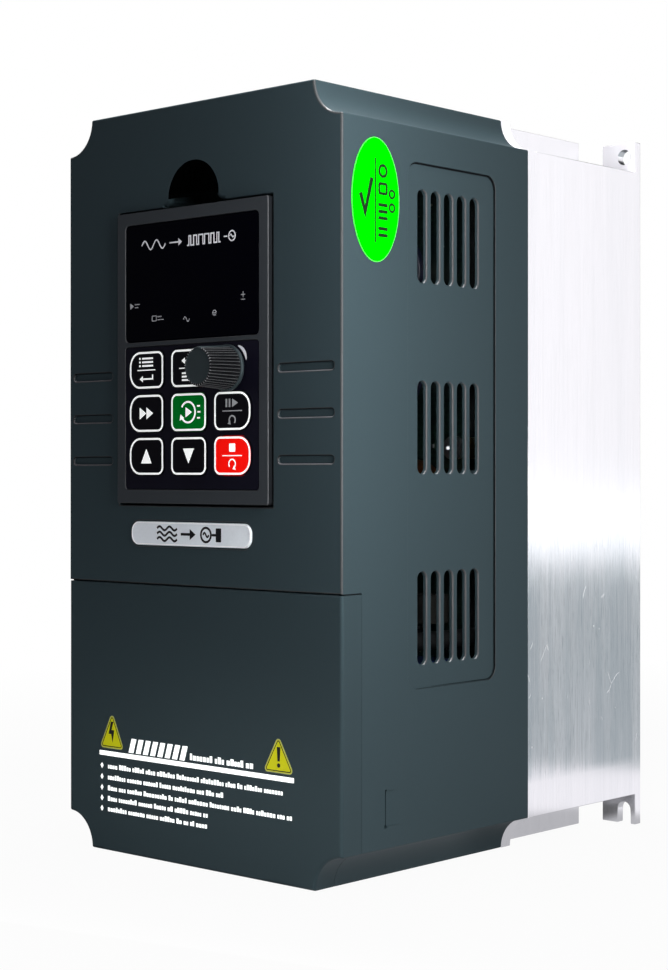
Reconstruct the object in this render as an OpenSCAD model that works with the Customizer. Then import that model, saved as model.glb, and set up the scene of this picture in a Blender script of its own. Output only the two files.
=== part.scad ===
// Wall-mounted variable frequency drive with a removable keypad, a lift-off
// terminal cover and a fan-cooled aluminium heatsink.
// Frame: +Z up, +Y into the wall, front face towards -Y, +X to the right seen from the front.
// Origin: centre of the rear mounting plane.

/* [Housing] */
// Overall width of housing and heatsink
body_width = 125; // [120:1:132]
// Overall height of housing and heatsink flange
body_height = 245; // [240:1:252]
// Distance from the wall to the housing's front face
body_depth = 160; // [158:1:166]
// Radius of the concave cove along the four long corners
cove_radius = 11.3; // [9:0.1:12]
// Wall thickness of the plastic housing
wall = 2.5; // [2:0.1:3]
// Height of the parting line between housing and terminal cover
parting_z = -32.5; // [-36:0.5:-28]
// How far the terminal cover wraps round the sides
cover_depth = 9; // [7:0.5:11]
// Gap between the cover and the housing
cover_gap = 0.4; // [0.3:0.1:0.6]
// Seam behind the cover's side edges
cover_seam = 0.12; // [0.1:0.02:0.3]

/* [Heatsink] */
// Depth of the heatsink, flange included
sink_depth = 67.5; // [64:0.5:70]
// Thickness of the front flange
flange_thickness = 5; // [4:0.5:6]
// Thickness of the outer side walls
side_thickness = 2.5; // [2:0.1:3]
// Depth of the fins behind the flange
fin_depth = 40.5; // [40.5:0.5:44]
// Thickness of a fin
fin_thickness = 1.6; // [1.2:0.1:2]
// Number of fins between the two inner walls
fin_count = 12; // [8:1:13]
// Radius of the round mounting holes
hole_radius = 2.75; // [2.5:0.05:3]
// Distance of the mounting holes from the centre line
hole_x = 57.8; // [57:0.1:58]
// Height of the upper holes, and depth of the lower slots, from the centre
hole_z = 117; // [116:0.1:117.5]

/* [Vents] */
// Width of a vent slot
slot_width = 4.2; // [3.4:0.1:4.4]
// Length of a vent slot
slot_length = 29; // [26:0.5:31]
// Spacing of the vent slots
slot_pitch = 6.55; // [6.4:0.05:6.7]
// Wall thickness left round the vent slots
vent_wall = 1.3; // [1:0.1:1.6]

/* [Keypad] */
// Keypad width
keypad_width = 69.6; // [69:0.1:70]
// Keypad height
keypad_height = 95.4; // [95:0.1:96]
// How far the keypad stands proud of the housing
keypad_proud = 1.5; // [1:0.1:2]
// Width of a key
key_width = 16.2; // [15.5:0.1:16.5]
// Height of a key
key_height = 12.2; // [11.5:0.1:12.4]
// Length of the speed knob
knob_length = 13.3; // [12.5:0.1:15]
// Radius of the knob's base ring
knob_radius = 7.35; // [7:0.05:7.6]

/* [Cooling fans] */
// Side of each square fan
fan_size = 40; // [39:0.5:40]
// Thickness of each fan
fan_thickness = 20; // [15:1:20]

/* [Hidden] */
$fn = 48;
overlap = 0.01;   // makes touching shapes fuse
cut = 1;          // usual overshoot of a cutter, or bite of a wall into its neighbour

// Points are [x, z]; mirrored() places each height at -x and at +x
function mirrored(x, heights) = [for (side = [-1, 1], z = heights) [side*x, z]];

// Housing and heatsink levels
y_front = -body_depth;                // housing front face
y_back = -sink_depth;                 // housing rear face, flange front face
y_flange = y_back + flange_thickness; // flange rear face
y_fin = y_flange + fin_depth;         // rear edge of the fins
y_cover = y_front + cover_depth;      // rear edge of the terminal cover
side_x = body_width/2;
cove_z = body_height/2 - cove_radius; // where the cove meets the side
lip_z = 122;                          // half height of the mounting lips
lip_width = 14;
lip_thickness = 3.5;
inner_x = side_x - cove_radius;       // outer face of the inner walls
inner_z = 120.5;                      // half height of the inner walls
inner_wall = 2;
post_points = mirrored(56, [-100, 0, 100]);
grommet_x = [-34, 0, 34];
grommet_y = -106;
recess_depth = 0.6;                   // shallow field round the side vents
vent_z = [77.6, 17.9, -41.7];         // middle of each group of vents
plate_centre = [-2.85, -16];          // rating plate
plate_width = 55.3;
plate_height = 7.7;

// Keypad
keypad_x = -1.5;
keypad_centre = [keypad_x, 41.4];
y_keypad = y_front - keypad_proud;    // keypad front face
y_plate = y_keypad + 2;               // rear of the keypad's front plate
y_joint = y_keypad + 9;               // joint between keypad frame and back
y_keypad_back = y_keypad + 15.5;      // rear of the keypad
y_keypad_board = y_keypad + 9.5;      // front of the keypad board
y_pocket = y_front + 15;              // front of the pocket floor
pocket_gap = 0.6;                     // clearance round the keypad
pocket_wall = 1.8;
keypad_screw_points = [for (point = mirrored(29.6, [-42.6, 42.6])) keypad_centre + point];
plug_centre = [keypad_x, 8];
key_x = [-21.6, -1.7, 18.1];
key_z = [37.2, 23.1, 9.1];
// The eight keys as [column, row]; column 2, row 0 is the knob
keys = [[0, 0], [1, 0], [0, 1], [1, 1], [2, 1], [0, 2], [1, 2], [2, 2]];
knob_centre = [16.3, 36.5];
knob_opening = 4.2;                   // radius of the hole round the knob's shaft
window_centre = [keypad_x, 65.7];
window_height = 38.4;
overlay_centre = [keypad_x, 21.6];
overlay_height = 46.6;
panel_width = 61.6;                   // width of display window and overlay

// Electronics
y_power_back = y_back - 16;           // rear of the power board
y_power = y_power_back - 1.6;         // front of the power board
y_control_back = -137;                // rear of the control board
y_control = y_control_back - 1.6;     // front of the control board
standoff_points = mirrored(46, [-76, 12, 101]);
control_points = mirrored(45, [-44, 99]);
module_centre = [0, -26];
module_screw_points = mirrored(27.5, [-26]);
rectifier_point = [0, 35];
ground_point = [55.5, -80];
terminal_pitch = 10.5;
terminal_z = -96;
terminal_points = [for (i = [0 : 8]) [(i - 4)*terminal_pitch, terminal_z]];
control_terminal_z = -54.5;
control_terminal_points = [for (i = [0 : 15]) [(i - 7.5)*5.08, control_terminal_z]];

// Fans
fan_x = [-23, 23];
fan_y = y_flange + 20.25;
fan_z = 98;                           // underside of the fans
fan_hole = 16;                        // fan screw holes from the fan's axis
tray_z = fan_z + fan_thickness + 0.05;
tray_thickness = 2;

// Colours shared between pieces
housing_grey = [0.17, 0.21, 0.23];
carrier_grey = [0.12, 0.13, 0.14];
board_green = [0.05, 0.32, 0.16];
steel = [0.8, 0.8, 0.8];
package_black = [0.10, 0.10, 0.11];
connector_black = [0.06, 0.06, 0.07];
key_black = [0.03, 0.03, 0.05];
tape_yellow = [0.86, 0.75, 0.25];
frame_black = [0.09, 0.09, 0.10];
rotor_black = [0.07, 0.07, 0.08];

// ---------- placing ----------
module at(point) { translate([point[0], 0, point[1]]) children(); }
module at_each(points) { for (point = points) at(point) children(); }
module at_corners(x, y) {
  for (sx = [-1, 1], sy = [-1, 1]) translate([sx*x, sy*y]) children();
}
// the children as drawn and mirrored left to right
module both_sides() { for (flip = [0, 1]) mirror([flip, 0, 0]) children(); }

// ---------- shapes ----------
// extrude an [x, z] outline from y0 to y1
module along_y(y0, y1) {
  translate([0, y1, 0]) rotate([90, 0, 0]) linear_extrude(y1 - y0) children();
}
// extrude a [y, z] outline from x0 to x1
module along_x(x0, x1) {
  translate([x0, 0, 0]) rotate([90, 0, 90]) linear_extrude(x1 - x0) children();
}
// box between two opposite corners
module box(low, high) { translate(low) cube(high - low); }
// box centred on the Y axis
module block(width, height, y0, y1) {
  box([-width/2, y0, -height/2], [width/2, y1, height/2]);
}
// cylinder on the Y axis, tapered when front_radius is given
module rod(radius, y0, y1, front_radius = -1) {
  translate([0, y1, 0]) rotate([90, 0, 0])
    cylinder(h = y1 - y0, r1 = radius, r2 = front_radius < 0 ? radius : front_radius);
}
module cross_slot(length, width, y0, y1) {
  for (angle = [0, 90]) rotate([0, angle, 0]) block(length, width, y0, y1);
}
// screw driven towards +Y, with its head in front of y_seat
module screw(y_seat, length, radius = 2, head_radius = 3.8, head_height = 2.4) {
  difference() {
    union() {
      rod(radius, y_seat - overlap, y_seat + length);
      rod(head_radius, y_seat - head_height, y_seat);
    }
    cross_slot(head_radius*1.1, 1, y_seat - head_height - cut, y_seat - head_height*0.45);
  }
}
// body outline with concave coves, shrunk by inset
module outline(inset = 0) {
  difference() {
    square([body_width - 2*inset, body_height - 2*inset], center = true);
    at_corners(body_width/2, body_height/2) circle(r = cove_radius + inset, $fn = 96);
  }
}
module rounded_rect(width, height, radius) {
  square([width - 2*radius, height], center = true);
  square([width, height - 2*radius], center = true);
  at_corners(width/2 - radius, height/2 - radius) circle(r = radius);
}
module pill(width, length) {
  square([width, length - width], center = true);
  for (side = [-1, 1]) translate([0, side*(length - width)/2]) circle(d = width);
}
// key outline; the corners on the outside of the key field are rounder
module key_outline(column, wider = 0, taller = 0, rounder = 0) {
  width = key_width + wider;
  height = key_height + taller;
  left = (column == 0 ? 5 : 2.6) + rounder;
  right = (column == 2 ? 5 : 2.6) + rounder;
  translate([-width/2 + left, -height/2]) square([width - left - right, height]);
  translate([-width/2, -height/2 + left]) square([left + overlap, height - 2*left]);
  translate([width/2 - right - overlap, -height/2 + right])
    square([right + overlap, height - 2*right]);
  for (side = [-1, 1]) {
    translate([-width/2 + left, side*(height/2 - left)]) circle(r = left);
    translate([width/2 - right, side*(height/2 - right)]) circle(r = right);
  }
}
module at_key(column, row) { at([key_x[column], key_z[row]]) children(); }
// openings for the keys and for the knob's shaft
module key_openings(y0, y1) {
  gap = 0.3;
  for (key = keys) at_key(key[0], key[1]) along_y(y0, y1)
    key_outline(key[0], wider = 2*gap, taller = 2*gap, rounder = gap);
  at(knob_centre) rod(knob_opening, y0, y1);
}

// ---------- heatsink ----------
module heatsink_fins() {
  for (i = [0 : fin_count - 1]) {
    x = (i + 0.5 - fin_count/2)*2*(inner_x - inner_wall)/fin_count;
    box([x - fin_thickness/2, y_flange - cut, -inner_z],
        [x + fin_thickness/2, y_fin, fan_z - 2]);
  }
}
module heatsink() {
  color([0.80, 0.81, 0.83]) difference() {
    union() {
      along_y(y_back, y_flange) outline();
      both_sides() {
        // outer side wall
        box([side_x - side_thickness, y_flange - cut, -cove_z], [side_x, 0, cove_z]);
        // rear mounting lip, turned inwards
        box([side_x - lip_width, -lip_thickness, -lip_z], [side_x, 0, lip_z]);
        // inner wall beside the fins and fans
        box([inner_x - inner_wall, y_flange - cut, -inner_z], [inner_x, y_fin, inner_z]);
      }
      heatsink_fins();
    }
    // mounting holes; the lower ones are slots open downwards
    at_each(mirrored(hole_x, [hole_z, -hole_z])) rod(hole_radius, -lip_thickness - cut, cut);
    both_sides() box([hole_x - hole_radius, -lip_thickness - cut, -lip_z - cut],
                     [hole_x + hole_radius, cut, -hole_z]);
    // clearance holes for the housing screws
    at_each(post_points) rod(2.25, y_back - cut, y_flange + cut);
    // lead-through for the fan cables
    at([0, 104]) rod(4, y_back - cut, y_flange + cut);
    // tapped holes for the power module, ground and rectifier screws
    at_each(concat(module_screw_points, [ground_point, rectifier_point]))
      rod(2.1, y_back - cut, y_back + 4);
  }
}

// ---------- main housing ----------
// round thumb recess above the keypad, with a flared foot
module thumb_outline(grow) {
  foot = 27.2 + 2*grow;
  translate([keypad_x, 92.2]) circle(r = 10.2 + grow, $fn = 72);
  difference() {
    translate([keypad_x - foot/2, 86]) square([foot, 8.6]);
    for (side = [-1, 1]) translate([keypad_x + side*(13.7 + grow), 94.2])
      circle(r = 4.3 - grow/2, $fn = 48);
  }
}
// thumb recess as a cutter, or as the block round it when grown
module thumb_scoop(grow) {
  length = 60;
  intersection() {
    along_y(grow > 0 ? y_front + 1 : y_front - 2, y_pocket + 4) thumb_outline(grow);
    translate([keypad_x - length/2, y_front, 89.6]) rotate([0, 90, 0])
      cylinder(h = length, r = 12.9 + grow, $fn = 96);
  }
}
module housing_solid() {
  difference() {
    along_y(y_front, y_back - 0.02) outline();
    along_y(y_front + wall, y_back + cut) outline(wall);
  }
  // shelf above the terminal bay
  box([-side_x + 1, y_front + 1, parting_z], [side_x - 1, -143, parting_z + 2.2]);
  // block round the keypad pocket
  at(keypad_centre) block(keypad_width + 2*(pocket_gap + pocket_wall),
    keypad_height + 2*(pocket_gap + pocket_wall), y_front + 1, y_pocket + 2);
  thumb_scoop(pocket_wall);
  // screw posts
  at_each(post_points) rod(4.5, y_back - 26, y_back - 0.02);
}
// vent field on the +X side: shallow recess and thinner wall behind the slots
module vent_field() {
  field_width = 44.3;
  translate([side_x - recess_depth, y_front + 30.5, 0]) along_x(0, 4)
    translate([field_width/2, 18.4]) rounded_rect(field_width, 163.8, 4.5);
  for (z = vent_z)
    box([side_x - wall - cut, y_front + 34.5, z - 17],
        [side_x - recess_depth - vent_wall, y_front + 68.5, z + 17]);
}
module vent_slots() {
  for (z = vent_z, i = [0 : 4]) translate([0, y_front + 38.1 + i*slot_pitch, z])
    along_x(-body_width, body_width) pill(slot_width, slot_length);
}
// latch window, its tool notch and the thumb pad that fades towards the rear
module latch_cuts() {
  translate([0, y_front + 20.1, -98.8]) along_x(side_x - 6, side_x + cut) pill(0.9, 11.8);
  translate([0, y_front + 20.0, -104.2]) along_x(side_x - 6, side_x + cut) circle(r = 0.75);
  translate([side_x - 0.5, y_front + 20.1, -104.3]) rotate([0, 0, -4]) cube([2, 9, 11]);
}
// grooves to the right and left of the keypad
module front_grooves() {
  // [x, length]
  for (groove = [[47.7, 23], [-50.4, 19.6]], z = [35.9, 21.8, 7.7])
    at([groove[0], z]) along_y(y_front - cut, y_front + 0.9) rotate(90) pill(2.3, groove[1]);
}
module main_housing() {
  // tongue behind the joint with the terminal cover
  color(housing_grey)
    box([-side_x + 3.1, y_front + 2.8, parting_z - 4], [side_x - 3.1, y_front + 4.4, parting_z + 1]);
  color(housing_grey) difference() {
    housing_solid();
    // keypad pocket and the window in its floor for the socket
    at(keypad_centre) block(keypad_width + 2*pocket_gap, keypad_height + 2*pocket_gap,
      y_front - 2, y_pocket);
    at(plug_centre) block(26, 14, y_pocket - cut, y_pocket + 4);
    thumb_scoop(0);
    // opening for the terminal cover
    box([-body_width, y_front - cut, -body_height], [body_width, y_cover, parting_z]);
    vent_slots();
    both_sides() {
      vent_field();
      latch_cuts();
    }
    front_grooves();
    // seat for the rating plate
    at(plate_centre) along_y(y_front - cut, y_front + 0.3)
      rounded_rect(plate_width + 0.8, plate_height + 0.8, 3.6);
    // slots in the top
    for (i = [-3 : 3]) translate([i*9, -112, body_height/2 - 6])
      linear_extrude(12) pill(slot_width, 44);
    // cable entries in the bottom
    for (x = grommet_x) translate([x, grommet_y, -body_height/2 - cut]) cylinder(h = 6, r = 10);
    // pilot holes in the screw posts
    at_each(post_points) rod(2.05, y_back - 23, y_back + cut);
  }
}

// ---------- terminal cover ----------
module terminal_cover() {
  skin = 2.2;
  arm_x = 57.6;
  arm_bottom = -104;
  arm_top = -93.6;
  y_arm = y_front + 1.5;
  color(housing_grey) {
    difference() {
      along_y(y_front, y_cover - cover_seam) outline();
      along_y(y_front + skin, y_cover + cut) outline(skin);
      box([-body_width, y_front - cut, parting_z - cover_gap],
          [body_width, y_cover + cut, body_height]);
    }
    // latch arms that reach the side windows, thicker inside the cover
    both_sides() {
      box([arm_x, y_arm, arm_bottom], [59.7, y_front + 26, arm_top]);
      box([arm_x, y_arm, arm_bottom], [60.8, y_cover - 1.5, arm_top]);
    }
  }
}

// ---------- boards and power parts ----------
module board_carrier() {
  y_middle = -133;
  y_cut_front = -140;
  y_cut_back = -130;
  color(carrier_grey) difference() {
    union() {
      box([-57, y_middle - 1, -64], [57, y_middle + 1, 106]);
      // legs to the flange, and bosses for the control board
      at_each(mirrored(54, [-50, 60])) rod(2.9, y_middle, y_back);
      at_each(control_points) rod(3, y_control_back, y_middle);
    }
    // notch for the ribbon cable
    box([-13, y_cut_front, 88], [13, y_cut_back, 120]);
    // two large openings
    at_each(mirrored(24, [20])) block(28, 80, y_cut_front, y_cut_back);
    at_each(control_points) rod(1.6, y_control_back - cut, -131);
  }
}
module power_board() {
  color(board_green) difference() {
    box([-50, y_power, -113], [50, y_power_back, 106]);
    at_each(standoff_points) rod(2.1, y_power - cut, y_power_back + cut);
  }
}
module standoffs() {
  color([0.78, 0.66, 0.32]) at_each(standoff_points) difference() {
    translate([0, y_back, 0]) rotate([90, 0, 0])
      cylinder(h = y_back - y_power_back, r = 4, $fn = 6);
    rod(2.1, y_power_back - cut, y_power_back + 10);
  }
}
module power_board_screws() { color(steel) at_each(standoff_points) screw(y_power, 8); }
module thermal_pad() {
  color([0.75, 0.75, 0.78]) difference() {
    at(module_centre) block(64, 52, y_back - 0.5, y_back);
    at_each(module_screw_points) rod(2.2, y_back - 2, y_back + cut);
  }
}
module power_module() {
  color(package_black) difference() {
    union() {
      at(module_centre) block(62, 48, y_back - 13.5, y_back - 0.5);
      // two rows of pins
      for (i = [0 : 7], z = [-20, 20]) at(module_centre + [-25.5 + i*7.4, z])
        block(1, 1.2, y_power_back, y_back - 13);
    }
    at_each(module_screw_points) {
      rod(2.2, y_back - 20, y_back);
      rod(4.2, y_back - 20, y_back - 8);
    }
  }
}
module power_module_screws() {
  color(steel) at_each(module_screw_points) screw(y_back - 8, 11.4);
}
module bus_capacitors() {
  length = 40;
  color([0.08, 0.10, 0.20]) at_each(mirrored(17, [72, 38])) difference() {
    rod(15, y_power - length, y_power);
    // cross score in the front face, and the groove near the board
    cross_slot(16, 0.8, y_power - length - cut, y_power - length + 0.5);
    translate([0, y_power - 2.5, 0]) rotate([90, 0, 0])
      rotate_extrude() translate([15.3, 0]) circle(r = 1);
  }
}
module rectifier_bridge() {
  body_z = 26;
  color(package_black) difference() {
    union() {
      at([0, body_z]) block(36, 28, y_back - 13, y_back);
      for (i = [-2 : 2]) at([i*6.5, body_z]) block(1.6, 0.8, y_power_back, y_back - 12);
    }
    at(rectifier_point) rod(2.2, y_back - 14, y_back + cut);
  }
}
module rectifier_screw() {
  color(steel) at(rectifier_point) screw(y_back - 13, 16, head_height = 2.2);
}
module precharge_resistor() {
  color([0.86, 0.85, 0.80]) {
    box([-6, y_power - 11, -46], [44, y_power - 1.5, -36.5]);
    for (x = [-3, 41]) at([x, -41.2]) block(0.8, 0.8, y_power - 2, y_power);
  }
}
module precharge_relay() {
  color([0.10, 0.12, 0.14]) box([-44, y_power - 20, -46], [-15, y_power, -32]);
}
module flyback_transformer() {
  at([-31, -8]) {
    // base, core and winding
    color(tape_yellow) block(28, 28, y_power - 5, y_power);
    color([0.2, 0.2, 0.22]) block(28, 16, y_power - 27, y_power - 5);
    color(tape_yellow) block(18, 26, y_power - 23, y_power - 4);
  }
}
module common_mode_choke() {
  ring_radius = 12.5;
  color([0.15, 0.16, 0.17]) translate([27, y_power - 8, -10]) rotate([90, 0, 0]) {
    rotate_extrude() translate([ring_radius, 0]) square([7, 11], center = true);
    // two windings with an insulating gap between them
    for (angle = [0, 180]) rotate([0, 0, angle + 20])
      rotate_extrude(angle = 140) translate([ring_radius, 0]) difference() {
        square([12, 16], center = true);
        square([6.8, 10.8], center = true);
      }
  }
}
module current_sensors() {
  color([0.12, 0.20, 0.42]) for (x = [-22, 6, 34]) at([x, -64]) difference() {
    block(22, 12, y_power - 18, y_power);
    translate([0, y_power - 11, -7]) cylinder(h = 14, r = 4);
  }
}
module power_terminal_block() {
  height = 26;
  color([0.08, 0.08, 0.09]) difference() {
    union() {
      at([0, terminal_z]) block(96, height, y_power - 21, y_power);
      // barriers between the terminals and at both ends
      for (i = [0 : 9]) at([(i - 4.5)*terminal_pitch, terminal_z])
        block(1.5, height, y_power - 29, y_power);
    }
    at_each(terminal_points) rod(2.1, y_power - 30, y_power - 8);
  }
}
module power_terminal_screws() {
  color(steel) at_each(terminal_points) {
    // clamp plate
    difference() {
      block(8.4, 9, y_power - 22.2, y_power - 21);
      rod(2.1, y_power - 24, y_power);
    }
    screw(y_power - 22.25, 12, head_height = 2.6);
  }
}
module ground_screw() {
  color(steel) at(ground_point) {
    screw(y_back - 1.05, 4.5, head_radius = 3.9, head_height = 2.6);
    // washer
    difference() {
      rod(4, y_back - 1, y_back);
      rod(2.1, y_back - 2, y_back + cut);
    }
  }
}
module control_board() {
  color(board_green) difference() {
    union() {
      box([-49, y_control, -62], [49, y_control_back, 104]);
      // processor, drivers and electrolytic cans
      at([-3, 47]) block(14, 14, y_control - 1.4, y_control + overlap);
      for (i = [0 : 3]) at([-33 + i*18, -17])
        block(10, 6, y_control - 1.8, y_control + overlap);
      for (i = [0 : 2]) at([28, 40 + i*14]) rod(2.9, y_control - 4, y_control + overlap);
    }
    at_each(control_points) rod(1.7, y_control - cut, y_control_back + cut);
  }
}
module control_board_screws() {
  color(steel) at_each(control_points)
    screw(y_control, 4.5, radius = 1.5, head_radius = 2.8, head_height = 2);
}
module control_terminal_block() {
  color([0.10, 0.42, 0.22]) difference() {
    at([0, control_terminal_z]) block(82, 11, y_control - 11, y_control);
    // screw wells, and wire entries from below
    at_each(control_terminal_points) {
      rod(1.5, y_control - 12, y_control - 3);
      box([-1.8, y_control - 7, -6.5], [1.8, y_control - 3.4, -2.7]);
    }
  }
}
module control_terminal_screws() {
  color(steel) at_each(control_terminal_points) difference() {
    rod(1.4, y_control - 10.2, y_control - 3.2);
    block(3, 0.6, y_control - 11, y_control - 9.5);
  }
}
module keypad_socket() {
  color(connector_black) at(plug_centre) difference() {
    block(22, 11, -145.4, y_control);
    block(18.6, 7.6, -146, -140.2);
  }
}
// flat cable between the two boards: a strip along a cosine curve
function ribbon_point(t, offset) =
  [y_control_back + t*(y_power - y_control_back), 100 - 3*cos(360*t) + offset];
module ribbon_cable() {
  steps = 32;
  half_thickness = 0.45;
  color([0.62, 0.63, 0.66]) along_x(-9, 9) polygon(concat(
    [for (i = [0 : steps]) ribbon_point(i/steps, half_thickness)],
    [for (i = [steps : -1 : 0]) ribbon_point(i/steps, -half_thickness)]));
}

// ---------- fans ----------
module fan_frame(x) {
  translate([x, fan_y, fan_z]) difference() {
    union() {
      difference() {
        linear_extrude(fan_thickness) rounded_rect(fan_size, fan_size, 3);
        translate([0, 0, -cut]) cylinder(h = fan_thickness + 2*cut, r = 18.7, $fn = 96);
      }
      // motor seat on three struts
      cylinder(h = 2.4, r = 8.5);
      for (angle = [30, 150, 270]) rotate([0, 0, angle])
        translate([8, -1, 0]) cube([11.3, 2, 2.2]);
    }
    at_corners(fan_hole, fan_hole)
      translate([0, 0, -cut]) cylinder(h = fan_thickness + 2*cut, r = 1.75);
    // bearing hole
    translate([0, 0, -cut]) cylinder(h = 5, r = 1.55);
  }
}
module fan_rotor(x) {
  translate([x, fan_y, fan_z]) {
    translate([0, 0, 3.2]) cylinder(h = 14.5, r = 9.5);
    // seven slanted blades, trimmed to a ring round the hub
    intersection() {
      for (i = [0 : 6]) rotate([0, 0, i*360/7]) translate([13, 0, 10.4])
        rotate([38, 0, 0]) cube([10, 1.1, 14], center = true);
      translate([0, 0, 3.6]) difference() {
        cylinder(h = 13.4, r = 17.9, $fn = 96);
        translate([0, 0, -cut]) cylinder(h = 16, r = 9);
      }
    }
    // spindle that runs in the motor seat
    translate([0, 0, 0.3]) cylinder(h = 4, r = 1.5);
  }
}
module fan_frame_left() { color(frame_black) fan_frame(fan_x[0]); }
module fan_frame_right() { color(frame_black) fan_frame(fan_x[1]); }
module fan_rotor_left() { color(rotor_black) fan_rotor(fan_x[0]); }
module fan_rotor_right() { color(rotor_black) fan_rotor(fan_x[1]); }
module fan_tray() {
  // legs beside and between the fans, as [x, half width]
  legs = [[-46.5, 1.6], [0, 2.6], [46.5, 1.6]];
  tray_x = inner_x - 2.3;
  color(housing_grey) difference() {
    union() {
      box([-tray_x, y_flange + 0.2, tray_z], [tray_x, y_fin, tray_z + tray_thickness]);
      for (leg = legs)
        box([leg[0] - leg[1], y_flange + 0.3, fan_z - 1],
            [leg[0] + leg[1], y_fin - 0.1, tray_z + overlap]);
    }
    for (x = fan_x) translate([x, fan_y, tray_z - cut]) cylinder(h = 5, r = 18.9, $fn = 96);
    // way through for the fan leads
    box([-3, y_flange - cut, fan_z - 2], [3, y_flange + 12, fan_z + 9]);
  }
}
module fan_guards() {
  wire = 1.1;
  half_width = 0.6;
  color([0.75, 0.76, 0.78]) for (x = fan_x) translate([x, fan_y, tray_z + tray_thickness]) {
    for (radius = [4.5, 9, 13.5, 18.2]) difference() {
      cylinder(h = wire, r = radius + half_width, $fn = 72);
      translate([0, 0, -cut]) cylinder(h = 4, r = radius - half_width, $fn = 72);
    }
    for (angle = [45 : 90 : 315]) rotate([0, 0, angle])
      translate([4.5, -half_width, 0]) cube([18.2, 2*half_width, wire]);
    at_corners(fan_hole, fan_hole) cylinder(h = wire, r = 2.4);
  }
}
// one lead per fan: out of the tray's middle leg, up, then forward through the flange
module fan_cables() {
  radius = 0.75;
  rise = 4;
  y_lead = y_flange + 3;
  color([0.55, 0.08, 0.08]) both_sides() translate([1.1, 0, 100]) {
    translate([0, y_lead, 0]) {
      rotate([0, 90, 0]) cylinder(h = 1.88, r = radius);
      sphere(r = radius);
      cylinder(h = rise, r = radius);
      translate([0, 0, rise]) sphere(r = radius);
    }
    at([0, rise]) rod(radius, y_power + 2.2, y_lead);
  }
}
// driven forward from behind the flange
module housing_screws() {
  color(steel) at_each(post_points) mirror([0, 1, 0])
    screw(-y_flange, 24, head_radius = 3.5, head_height = 2.6);
}

// ---------- labels and seals ----------
module rating_plate() {
  color([0.72, 0.73, 0.76]) at(plate_centre)
    along_y(y_front - 0.4, y_front + 0.3) rounded_rect(plate_width, plate_height, 3.2);
}
// oval sticker on the right side
module inspection_sticker() {
  color([0.0, 0.95, 0.0]) translate([0, y_front + 15.2, 86.6])
    along_x(side_x, side_x + 0.15) scale([0.58, 1]) circle(r = 19, $fn = 96);
}
module cable_grommets() {
  neck_radius = 9.95;
  color([0.05, 0.05, 0.05]) for (x = grommet_x)
    translate([x, grommet_y, -body_height/2]) difference() {
      union() {
        translate([0, 0, -0.02]) cylinder(h = wall, r = neck_radius);
        // collar inside the housing, joined to the neck
        translate([0, 0, wall + 0.02]) cylinder(h = 2, r = 12);
        translate([0, 0, wall - 0.1]) cylinder(h = 0.5, r = neck_radius);
      }
      translate([0, 0, -cut]) cylinder(h = 8, r = 7);
    }
}

// ---------- keypad ----------
module keypad_frame() {
  color([0.19, 0.20, 0.21]) difference() {
    union() {
      at(keypad_centre) {
        along_y(y_keypad, y_plate) rounded_rect(keypad_width, keypad_height, 0.8);
        along_y(y_plate - overlap, y_joint) difference() {
          rounded_rect(keypad_width, keypad_height, 0.8);
          square([keypad_width - 3.2, keypad_height - 3.2], center = true);
        }
      }
      at_each(keypad_screw_points) rod(2.9, y_plate - overlap, y_keypad_board - 0.1);
    }
    // seat and opening for the display window
    at(window_centre) {
      along_y(y_keypad - cut, y_keypad + 1.5) rounded_rect(panel_width, window_height, 1.6);
      along_y(y_keypad - cut, y_keypad + 4)
        rounded_rect(panel_width - 4, window_height - 4, 1.6);
    }
    // seat for the overlay
    at(overlay_centre) along_y(y_keypad - cut, y_keypad + 0.7)
      rounded_rect(panel_width, overlay_height, 1.2);
    key_openings(y_keypad - cut, y_keypad + 4);
    at_each(keypad_screw_points) rod(1.2, y_plate + 0.5, y_keypad_board + cut);
  }
}
module keypad_back() {
  color(carrier_grey) difference() {
    at(keypad_centre) along_y(y_joint + 0.05, y_keypad_back)
      rounded_rect(keypad_width - 0.6, keypad_height - 0.6, 0.8);
    at(keypad_centre) along_y(y_joint - cut, y_keypad_back - 1.6)
      square([keypad_width - 3.8, keypad_height - 3.8], center = true);
    at(plug_centre) block(19.2, 8.2, y_keypad_back - 3, y_keypad_back + cut);
    // screw holes and the seats for the heads
    at_each(keypad_screw_points) {
      rod(1.3, y_keypad_back - 3, y_keypad_back + cut);
      rod(2.3, y_keypad_back - 0.9, y_keypad_back + cut);
    }
  }
}
module display_window() {
  color([0.01, 0.01, 0.02]) at(window_centre) along_y(y_keypad + 0.15, y_keypad + 1.45)
    rounded_rect(panel_width - 0.3, window_height - 0.3, 1.5);
}
module keypad_overlay() {
  color([0.02, 0.02, 0.04]) difference() {
    at(overlay_centre) along_y(y_keypad + 0.1, y_keypad + 0.68)
      rounded_rect(panel_width - 0.3, overlay_height - 0.3, 1.1);
    key_openings(y_keypad - cut, y_keypad + 2);
  }
}
module keypad_board() {
  color(board_green) difference() {
    at(keypad_centre)
      block(keypad_width - 4, keypad_height - 4, y_keypad_board, y_keypad_board + 1.6);
    at_each(keypad_screw_points) rod(1.3, y_keypad_board - cut, y_keypad_board + 3);
  }
}
module led_display() {
  color([0.03, 0.03, 0.03]) at([keypad_x, 68]) block(50.4, 19, y_keypad + 2.2, y_keypad_board);
}
module tact_switches() {
  color([0.08, 0.08, 0.08]) for (key = keys) at_key(key[0], key[1]) {
    block(6, 6, y_keypad_board - 3.4, y_keypad_board);
    rod(1.75, y_keypad_board - 4.2, y_keypad_board - 3.4 + overlap);
  }
}
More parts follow.
